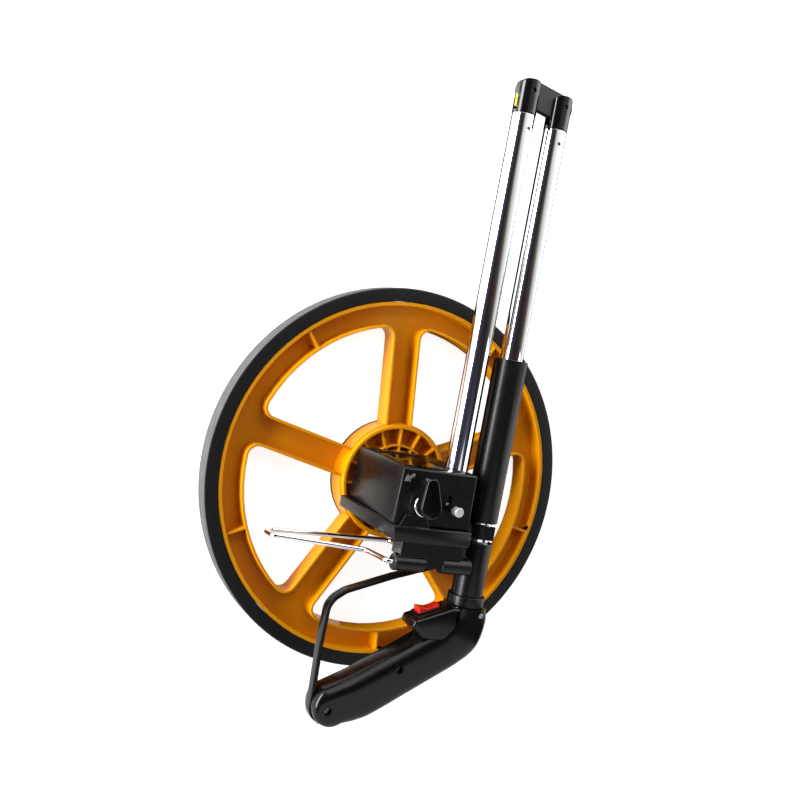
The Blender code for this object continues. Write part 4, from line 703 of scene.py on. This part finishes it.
world = bpy.data.worlds.new("studio")
world.use_nodes = True
bpy.context.scene.world = world
world_nodes, world_links = world.node_tree.nodes, world.node_tree.links
background = world_nodes["Background"]
background.inputs["Color"].default_value = (1, 1, 1, 1)
strength = world_nodes.new("ShaderNodeMapRange")
strength.inputs["To Min"].default_value = WORLD_FILL
strength.inputs["To Max"].default_value = 1.0
world_links.new(ray_share(world_nodes, world_links), strength.inputs["Value"])
world_links.new(strength.outputs["Result"], background.inputs["Strength"])


def seen_in_gloss_only(card):
    """A card of the studio that only polished surfaces show."""
    for setting in ("visible_camera", "visible_diffuse", "visible_transmission", "visible_shadow"):
        setattr(card, setting, False)


floor = flat_sheet("floor", (0, 0, -FLOOR_DROP), (FLOOR_HALF, 0, 0), (0, FLOOR_HALF, 0))
floor_look, floor_shader, floor_nodes, floor_links, floor_place = new_material("floor_white")
floor_shader.inputs["Roughness"].default_value = 0.9
floor_noise = noise(floor_nodes, floor_links, floor_place, 1.5)
floor_tone = tint(floor_nodes, floor_links, floor_noise, FLOOR_DARK, FLOOR_LIGHT)
floor_links.new(floor_tone, floor_shader.inputs["Base Color"])
floor_glow = floor_nodes.new("ShaderNodeMapRange")
floor_glow.inputs["To Max"].default_value = FLOOR_GLOW
floor_links.new(ray_share(floor_nodes, floor_links), floor_glow.inputs["Value"])
floor_shader.inputs["Emission Color"].default_value = (1, 1, 1, 1)
floor_links.new(floor_glow.outputs["Result"], floor_shader.inputs["Emission Strength"])
floor.data.materials.append(floor_look)

for name, centre, side, rise, glow in CARDS:
    card = flat_sheet(name, centre, side, rise)
    card_look, card_shader, *_ = new_material(name)
    card_shader.inputs["Base Color"].default_value = (0, 0, 0, 1)
    card_shader.inputs["Specular IOR Level"].default_value = 0.0
    card_shader.inputs["Emission Color"].default_value = (1, 1, 1, 1)
    card_shader.inputs["Emission Strength"].default_value = glow
    card.data.materials.append(card_look)
    seen_in_gloss_only(card)


def reflector(name):
    """A part barrel (R sin a, y, R cos a), with a from the left side over the top to the right side."""
    turn = np.linspace(ARCH_FROM, ARCH_TO, ARCH_ROWS)[:, None] * DEG
    along = np.linspace(-ARCH_LENGTH, ARCH_LENGTH, ARCH_COLUMNS)[None, :]
    across = ARCH_RADIUS * np.sin(turn)
    height = ARCH_RADIUS * np.cos(turn)
    points = np.stack(np.broadcast_arrays(across, along + ARCH_MIDDLE, height), -1)
    made = finished(name, points, grid_faces(ARCH_ROWS, ARCH_COLUMNS, False, False))
    look, shader, nodes, links, place = new_material(name)
    parts = nodes.new("ShaderNodeSeparateXYZ")
    links.new(place, parts.inputs["Vector"])
    angle = nodes.new("ShaderNodeMath")
    angle.operation = "ARCTAN2"
    links.new(parts.outputs["X"], angle.inputs[0])
    links.new(parts.outputs["Z"], angle.inputs[1])
    lean = nodes.new("ShaderNodeMapRange")
    lean.inputs["From Min"].default_value = SKEW_FROM
    lean.inputs["From Max"].default_value = 0.0
    links.new(angle.outputs["Value"], lean.inputs["Value"])
    beyond = nodes.new("ShaderNodeMath")
    beyond.operation = "MULTIPLY_ADD"
    beyond.inputs[1].default_value = SKEW_SLOPE
    beyond.inputs[2].default_value = -SKEW_SLOPE * SKEW_MIDDLE
    links.new(parts.outputs["Y"], beyond.inputs[0])
    skewed = nodes.new("ShaderNodeMath")
    skewed.operation = "MULTIPLY_ADD"
    links.new(lean.outputs["Result"], skewed.inputs[0])
    links.new(beyond.outputs["Value"], skewed.inputs[1])
    links.new(angle.outputs["Value"], skewed.inputs[2])
    share = nodes.new("ShaderNodeMapRange")
    share.inputs["From Min"].default_value = ARCH_FROM * DEG
    share.inputs["From Max"].default_value = ARCH_TO * DEG
    links.new(skewed.outputs["Value"], share.inputs["Value"])
    bands = nodes.new("ShaderNodeValToRGB")
    for number, (place_deg, colour) in enumerate(ARCH_BANDS):
        where = (place_deg - ARCH_FROM) / (ARCH_TO - ARCH_FROM)
        stop = bands.color_ramp.elements[0] if number == 0 else bands.color_ramp.elements.new(where)
        stop.position = where
        stop.color = (*colour, 1)
    bands.color_ramp.elements.remove(bands.color_ramp.elements[-1])
    links.new(share.outputs["Result"], bands.inputs["Fac"])
    shader.inputs["Base Color"].default_value = (0, 0, 0, 1)
    shader.inputs["Specular IOR Level"].default_value = 0.0
    links.new(bands.outputs["Color"], shader.inputs["Emission Color"])
    shader.inputs["Emission Strength"].default_value = 1.0
    made.data.materials.append(look)
    seen_in_gloss_only(made)


reflector("reflector_arch")

# Wheel


def tyre_profile():
    """Rounded shoulders with two shallow grooves round the tread."""
    groove_floor = TYRE_OUTER - TREAD_GROOVE
    corners = [(TYRE_INNER, 0), (TYRE_OUTER, 0)]
    for share in TREAD_PLACES:
        middle = TYRE_WIDTH * share
        corners += [(TYRE_OUTER, middle - 2 * TREAD_GROOVE), (groove_floor, middle - TREAD_GROOVE)]
        corners += [(groove_floor, middle + TREAD_GROOVE), (TYRE_OUTER, middle + 2 * TREAD_GROOVE)]
    corners += [(TYRE_OUTER, TYRE_WIDTH), (TYRE_INNER, TYRE_WIDTH)]
    radii = [TYRE_HEEL_ROUND, TYRE_ROUND] + [SOFT_EDGE] * 8 + [TYRE_ROUND, ROUND_EDGE]
    return filleted(corners, radii)


dress(revolved("tyre_band", tyre_profile(), steps=288), "wheel", tyre_finish(), "tyre_rubber", "tyre")
dress(refined("spoked_moulding", "wheel_moulding", MOULDING_EDGE), "wheel", AMBER_PLASTIC, "orange_plastic",
      "wheel_moulding")
dress(ring("hub_inner_ring", HUB_RING_INNER, HUB_RING_OUTER, HUB_FLOOR, HUB_RING_FRONT, ROUND_EDGE), "wheel",
      AMBER_PLASTIC, "orange_plastic")

disc_low, disc_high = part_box("hub_back_disc")
dress(ring("hub_back_ring", HUB_BORE, disc_high.x, disc_low.z, disc_high.z, SOFT_EDGE), "wheel", SATIN_BLACK,
      "black_satin", "hub_back_disc")
_, axle_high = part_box("axle")
dress(pin("axle_pin", axle_high.x, 0, axle_high.z, WIDE_EDGE), "wheel", PLAIN_STEEL, "steel", "axle")
insert_low, insert_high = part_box("hub_insert")
dress(ring("hub_bush", HUB_BORE, insert_high.x, insert_low.z, insert_high.z, SOFT_EDGE, steps=96), "wheel",
      PLAIN_STEEL, "steel", "hub_insert")
dress(refined("hub_nut", "axle_nut", SOFT_EDGE), "wheel", PLAIN_STEEL, "steel", "axle_nut")
repaint("drive_gear", GEAR_NYLON)
repaint("counter_gear", GEAR_NYLON)

# Tubes and fold hinge


def tube(name, node, x, body):
    """A chrome tube with its bore."""
    low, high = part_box(node)
    made = ring(name, TUBE_BORE, TUBE_RADIUS, 0, high.y - low.y, SOFT_EDGE, (x, low.y, TUBE_Z), ALONG, 128)
    dress(made, body, MIRROR_CHROME, "chrome", node)


tube("lower_chrome_tube", "lower_tube", LOWER_X, "frame")
tube("upper_chrome_tube", "upper_tube", UPPER_X, "handle")

# The holes are black discs of painted shade, not cut through the tube
for name, body, x, y, turn in TUBE_HOLES:
    out = Vector((math.sin(turn), 0, math.cos(turn)))
    start = Vector((x, y, TUBE_Z)) + out * (TUBE_RADIUS - HOLE_DEEP)
    dress(pin(name, HOLE_RADIUS, 0, HOLE_DEEP + HOLE_PROUD, HOLE_EDGE, start, out, 40), body, HOLE_SHADE_FINISH,
          "black_satin")


def leaf_section(half_width, edge):
    """One leaf's section: an arc of the fork's outside over a flat face at the slot, corners rounded."""
    reach = math.asin(min(half_width / FORK_RADIUS, 1.0))
    reach = min(reach, math.acos(SLOT_HALF / FORK_RADIUS))
    curve = arc((0, 0), FORK_RADIUS, math.pi / 2 - reach, math.pi / 2 + reach, LEAF_POINTS)
    foot = np.linspace((curve[-1][0], SLOT_HALF), (curve[0][0], SLOT_HALF), 8)
    side = np.linspace(curve[-1], foot[0], 5)[1:-1]
    back = np.linspace(foot[-1], curve[0], 5)[1:-1]
    outline = np.concatenate([curve, side, foot, back])
    middle = outline.mean(0)
    return middle + (outline - middle) * (1 - edge / FORK_RADIUS)


def fork_leaf(name, tube_x, pin_y, side, body, slot):
    """A loft whose half width w is R up to the pin and has (w / R)^n + (d / end)^n = 1 at d past it."""
    straight = np.linspace(pin_y - SLOT_DROP - LEAF_BELOW, pin_y, 6)[:-1]
    turns = np.linspace(0, math.pi / 2, LEAF_LEVELS)
    levels = [(y, FORK_RADIUS, 0.0) for y in straight]
    for a in turns:
        fade = max(0.0, (a / (math.pi / 2) - LEAF_FADE_FROM) / LEAF_FADE_OVER)
        half_width = max(FORK_RADIUS * math.cos(a) ** (2 / FORK_SQUARE), LEAF_THIN)
        levels.append((pin_y + FORK_END * math.sin(a) ** (2 / FORK_SQUARE), half_width, FORK_EDGE * fade))
    rings = []
    for y, half_width, edge in levels:
        section = leaf_section(half_width, edge)
        height = TUBE_Z + side * section[:, 1]
        rings.append(np.column_stack([tube_x + section[:, 0], np.full(len(section), y), height]))
    points = np.array(rings)
    leaf = finished(name, points, capped_faces(len(rings), points.shape[1]), LEAF_SHARP)
    carve(leaf, pin(name + "_hole", FORK_HOLE, -FORK_HOLE_REACH, FORK_HOLE_REACH, CUTTER_EDGE,
                    (tube_x, pin_y, TUBE_Z)))
    dress(leaf, body, GLOSS_BLACK, slot)


for name, node, tube_x, pin_y, body in (("lower_fork", "lower_hinge_cap", LOWER_X, LOWER_PIN_Y, "frame"),
                                        ("upper_fork", "upper_hinge_cap", UPPER_X, UPPER_PIN_Y, "handle")):
    fork_leaf(name + "_near_leaf", tube_x, pin_y, 1, body, "black_satin")
    fork_leaf(name + "_far_leaf", tube_x, pin_y, -1, body, "black_satin")
    plug_corners = [
        (PLUG_BORE, 0),
        (SPIGOT_RADIUS, 0),
        (SPIGOT_RADIUS, SPIGOT_DROP - PLUG_DROP),
        (FORK_RADIUS, SPIGOT_DROP - PLUG_DROP),
        (FORK_RADIUS, SPIGOT_DROP - SLOT_DROP),
        (PLUG_BORE, SPIGOT_DROP - SLOT_DROP),
    ]
    plug = revolved(name + "_plug", filleted(plug_corners, PLUG_EDGES), (tube_x, pin_y - SPIGOT_DROP, TUBE_Z),
                    ALONG)
    dress(plug, body, GLOSS_BLACK, "black_satin", node)

dress(refined("hinge_link", "fold_link", ROUND_EDGE, 3), "link", LINK_METAL, "steel", "fold_link")

for name, x, y, start, end in (("link_rim_lower", LOWER_X, LOWER_PIN_Y, LIP_OVER, LIP_TO),
                               ("link_rim_upper", UPPER_X, UPPER_PIN_Y, LIP_OVER, LIP_UPPER_TO)):
    around = arc((x, y), LIP_RADIUS, start, end, LIP_STEPS)
    path = np.column_stack([around, np.full(len(around), TUBE_Z)])
    dress(carried(name, LIP_SECTION, path, UP), "link", LINK_METAL, "steel")

# The hinge pins take the painted hole shade, so their ends show as dark dots of painted shade in the forks
for node, body in (("lower_hinge_pin", "frame"), ("upper_hinge_pin", "handle")):
    low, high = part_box(node)
    middle = (low + high) / 2
    place = (middle.x, middle.y, 0)
    made = pin(node + "_turned", high.x - middle.x, low.z, high.z, SOFT_EDGE, place, steps=40)
    dress(made, body, HOLE_SHADE_FINISH, "steel", node)

sleeve_low, sleeve_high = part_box("lock_sleeve")
sleeve_length = sleeve_high.y - sleeve_low.y
sleeve_corners = [
    (TUBE_RADIUS + SLIDE_CLEAR, 0),
    (SLEEVE_RADIUS, 0),
    (SLEEVE_RADIUS, sleeve_length),
    (SLEEVE_BORE, sleeve_length),
    (SLEEVE_BORE, SLEEVE_COLLAR),
    (TUBE_RADIUS + SLIDE_CLEAR, SLEEVE_COLLAR),
]
sleeve = revolved("sleeve_barrel", filleted(sleeve_corners, SLEEVE_EDGES), (UPPER_X, sleeve_low.y, TUBE_Z),
                  ALONG)
dress(sleeve, "sleeve", SATIN_BLACK, "black_gloss", "lock_sleeve")

# Counter box

for name, node, width, segments in (("cover_shell", "housing_cover", WIDE_EDGE, 3),
                                    ("base_shell", "base_tray", WIDE_EDGE, 3),
                                    ("tube_clip", "storage_clip", ROUND_EDGE, 2)):
    dress(refined(name, node, width, segments), "frame", SATIN_BLACK, "black_satin", node)
dress(refined("window_pane", "window_lens", WINDOW_EDGE), "frame", WINDOW_CLEAR, "clear_window",
      "window_lens")
for number in range(1, 5):
    repaint(f"base_screw_{number}", PLAIN_STEEL)
repaint("number_drum_1", DRUM_RED)
for number in range(2, 6):
    repaint(f"number_drum_{number}", DRUM_WHITE)
repaint("reset_shaft", PLAIN_STEEL)

shaft_low, shaft_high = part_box("reset_shaft")
shaft = ((shaft_low.x + shaft_high.x) / 2, (shaft_low.y + shaft_high.y) / 2)
collar_low, collar_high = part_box("reset_collar")
collar_radius = collar_high.x - shaft[0] + COLLAR_FLARE
collar = ring("reset_chrome_collar", COLLAR_BORE, collar_radius, collar_low.z, collar_high.z, COLLAR_EDGE,
              (*shaft, 0), steps=96)
dress(collar, "reset", WIRE_CHROME, "chrome", "reset_collar")

lever_low, lever_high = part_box("reset_lever")
lever_lean = math.asin((LEVER_END - LEVER_TIP) / LEVER_LENGTH)
lever_tip = (
    shaft[0] - LEVER_LENGTH * math.sin(LEVER_TURN),
    shaft[1] + LEVER_LENGTH * math.cos(LEVER_TURN),
)
lever_outline = np.concatenate([
    arc(shaft, LEVER_END, LEVER_TURN + math.pi - lever_lean, LEVER_TURN + TAU + lever_lean, 40),
    arc(lever_tip, LEVER_TIP, LEVER_TURN + lever_lean, LEVER_TURN + math.pi - lever_lean, 24),
])
lever = moulded("teardrop_lever", lever_outline, lever_low.z, lever_high.z, LEVER_EDGE,
                rear_edge=LEVER_REAR_EDGE, steps=5)
dress(lever, "reset", GLOSS_BLACK, "black_gloss", "reset_lever")

brake_low, brake_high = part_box("brake_pin")
brake = ((brake_low.x + brake_high.x) / 2, (brake_low.y + brake_high.y) / 2)
brake_corners = [
    (0, brake_low.z),
    (BRAKE_FLANGE, brake_low.z),
    (BRAKE_FLANGE, BRAKE_FLANGE_FRONT),
    (BRAKE_STEM, BRAKE_FLANGE_FRONT),
    (BRAKE_STEM, brake_high.z - BRAKE_HEAD_HIGH),
    (BRAKE_HEAD, brake_high.z - BRAKE_HEAD_HIGH),
    (BRAKE_HEAD, brake_high.z),
    (0, brake_high.z),
]
brake_profile = filleted(brake_corners, BRAKE_EDGES, closed=False)
dress(revolved("brake_stud", brake_profile, (*brake, 0), steps=72), "brake", STUD_STEEL, "chrome",
      "brake_pin")
shutter_outline = filleted(np.array(SHUTTER) * MM + np.array(brake), SHUTTER_ROUND)
shutter = moulded("brake_shutter", shutter_outline, SHUTTER_REAR, SHUTTER_FRONT, SHUTTER_EDGE, steps=2)
dress(shutter, "brake", SATIN_BLACK, "black_satin")
bush_low, bush_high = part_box("brake_bush")
bush = ring("brake_collar", BRAKE_COLLAR_BORE, bush_high.x - brake[0], bush_low.z, bush_high.z, SOFT_EDGE,
            (*brake, 0), steps=64)
dress(bush, "brake", SATIN_BLACK, "black_satin", "brake_bush")

arrow_outline = turned(np.array(ARROW) * MM, ARROW_TURN) + np.array(ARROW_PLACE)
arrow = moulded("turn_arrow", arrow_outline, COVER_FRONT - ARROW_RISE, COVER_FRONT + ARROW_RISE, ARROW_EDGE,
                steps=2)
dress(arrow, "frame", MARK_GREY, "black_satin")

# Stand

stand_path = filleted([(x * MM, LUG_Y, z * MM) for x, z in STAND_POINTS], STAND_BEND, closed=False, steps=10)
stand_section = arc((0, 0), STAND_WIRE, 0, TAU, WIRE_SIDES)[:-1]
dress(carried("stand_chrome_wire", stand_section, stand_path, ALONG), "stand", WIRE_CHROME, "chrome",
      "stand_wire")

# Neck, ferrule, grip, guard and switch

neck_low, neck_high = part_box("neck_tube")
neck = ring("neck_barrel", TUBE_RADIUS + SLIDE_CLEAR, neck_high.x - UPPER_X, 0, neck_high.y - neck_low.y,
            WIDE_EDGE, (UPPER_X, neck_low.y, TUBE_Z), ALONG)
dress(neck, "handle", SATIN_BLACK, "black_satin", "neck_tube")
ferrule_low, ferrule_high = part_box("ferrule")
ferrule = ring("ferrule_ring", FERRULE_BORE, ferrule_high.x - UPPER_X, 0, ferrule_high.y - ferrule_low.y,
               FERRULE_EDGE, (UPPER_X, ferrule_low.y, TUBE_Z), ALONG)
dress(ferrule, "handle", SATIN_BLACK, "black_satin", "ferrule")


def smooth_through(stations, rows):
    """Rows spaced evenly through stations on a Catmull-Rom curve."""
    padded = np.vstack([2 * stations[0] - stations[1], stations, 2 * stations[-1] - stations[-2]])
    place = np.linspace(0, len(stations) - 1 - 1e-9, rows)
    k = place.astype(int)
    t = (place - k)[:, None]
    a, b, c, d = (padded[k + shift] for shift in range(4))
    return 0.5 * (2 * b + (c - a) * t + (2 * a - 5 * b + 4 * c - d) * t**2 + (3 * b - a - 3 * c + d) * t**3)


def grip_half(name, side):
    """Half of a loft whose sections are superellipses |a|^n + |b|^n = 1, with a half-round butt."""
    rows = smooth_through(GRIP_STATIONS, GRIP_ROWS)
    last = rows[-1]
    turns = np.linspace(0, 0.98 * math.pi / 2, BUTT_ROWS)[1:, None]
    butt = np.hstack([
        last[:2] + BUTT_RADIUS * np.sin(turns) * np.array(BUTT_AHEAD),
        np.full_like(turns, last[2]),
        last[3] * np.cos(turns),
        last[4] - BUTT_THIN * np.sin(turns) ** 5,
    ])
    rows = np.vstack([rows, butt])
    turn = np.linspace(0, math.pi, GRIP_SIDES // 2 + 1)
    wide = np.sign(np.cos(turn)) * np.abs(np.cos(turn)) ** (2 / GRIP_SQUARE)
    deep = np.abs(np.sin(turn)) ** (2 / GRIP_SQUARE)
    x, y, lean, height, thick = rows.T[:, :, None]
    lean = lean * DEG
    points = np.stack(np.broadcast_arrays(
        (x + np.cos(lean) * height * wide) * MM,
        (y - np.sin(lean) * height * wide) * MM,
        TUBE_Z + side * (GRIP_SEAM + (thick * MM - GRIP_SEAM) * deep),
    ), -1)
    return finished(name, points, capped_faces(len(rows), points.shape[1]))


near_half = grip_half("grip_near_half", 1)
wells = []
for number, (x, y, radius, head) in enumerate(SCREWS, 1):
    wells.append(pin(f"well_{number}", radius * MM + WELL_CLEAR, TUBE_Z + (head - WELL_BELOW) * MM,
                     TUBE_Z + WELL_TOP, WELL_EDGE, (x * MM, y * MM, 0)))
carve(near_half, *wells)
dress(near_half, "handle", GRIP_BLACK, "black_satin", "grip_shell_near")
dress(grip_half("grip_far_half", -1), "handle", GRIP_BLACK, "black_satin", "grip_shell_far")

for number, (x, y, radius, _) in enumerate(SCREWS, 1):
    low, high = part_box(f"grip_screw_{number}")
    head = pin(f"grip_screw_head_{number}", radius * MM, low.z, high.z, SCREW_EDGE, (x * MM, y * MM, 0))
    reach, half = radius * CROSS_REACH, radius * CROSS_HALF
    bar = np.array([(-reach, -half), (reach, -half), (reach, half), (-reach, half)]) * MM
    slots = []
    for turn in (CROSS_TURN, CROSS_TURN + math.pi / 2):
        outline = turned(bar, turn) + np.array((x, y)) * MM
        slots.append(moulded(f"cross_{turn:.1f}", outline, high.z - CROSS_DEEP, high.z + CROSS_OVER,
                             CUTTER_EDGE, steps=1))
    carve(head, *slots)
    dress(head, "handle", PLAIN_STEEL, "steel", f"grip_screw_{number}")

switch_along = Vector((math.cos(SWITCH_TURN), math.sin(SWITCH_TURN), 0))
switch_up = Vector((-math.sin(SWITCH_TURN), math.cos(SWITCH_TURN), 0))
switch_place = Matrix((switch_along, switch_up.cross(switch_along), switch_up)).transposed().to_4x4()
switch_place.translation = Vector((*SWITCH_CENTRE, TUBE_Z))

housing_outline = filleted(np.array(HOUSING) * MM, HOUSING_CORNERS)
housing = moulded("switch_housing", housing_outline, TUBE_Z - HOUSING_FAR, TUBE_Z + HOUSING_NEAR,
                  HOUSING_ROUND, steps=6)
pocket_outline = np.array(POCKET) * MM
pocket = moulded("pocket", pocket_outline, POCKET_REAR, POCKET_FRONT, CUTTER_EDGE, switch_place, steps=1)
carve(housing, pocket)
dress(housing, "handle", GRIP_BLACK, "black_satin")
dress(refined("switch_frame", "switch_body", SOFT_EDGE), "handle", SATIN_BLACK, "black_satin", "switch_body")

rocker_x = np.linspace(-ROCKER_HALF, ROCKER_HALF, 25)
rocker_top = ROCKER_VALLEY + (ROCKER_RISE - ROCKER_VALLEY) * np.abs(rocker_x / ROCKER_HALF) ** 1.5
rocker_outline = np.concatenate([
    np.stack([rocker_x, rocker_top], -1)[::-1],
    np.array([(-ROCKER_HALF, -ROCKER_BELOW / 2), (0, -ROCKER_BELOW), (ROCKER_HALF, -ROCKER_BELOW / 2)]),
])
rocker_place = switch_place @ Matrix.Rotation(math.pi / 2, 4, "X") @ Matrix.Rotation(ROCKER_TILT, 4, "Z")
rocker = moulded("red_rocker", rocker_outline[::-1], -ROCKER_WIDTH / 2, ROCKER_WIDTH / 2, ROCKER_EDGE,
                 rocker_place, steps=3)
dress(rocker, "rocker", SWITCH_RED, "red_plastic", "rocker_switch")

guard_path = filleted([(x * MM, y * MM, TUBE_Z) for x, y in GUARD_LINE], GUARD_BEND, closed=False, steps=12)
guard_corners = np.array([(-1, -1), (1, -1), (1, 1), (-1, 1)]) * (GUARD_THICK / 2, GUARD_WIDTH / 2)
guard = carried("guard_strap", filleted(guard_corners, GUARD_EDGE), guard_path, UP)
dress(guard, "handle", STRAP_BLACK, "black_satin", "hand_guard")

repaint("switch_lead", LEAD_SHEATH)
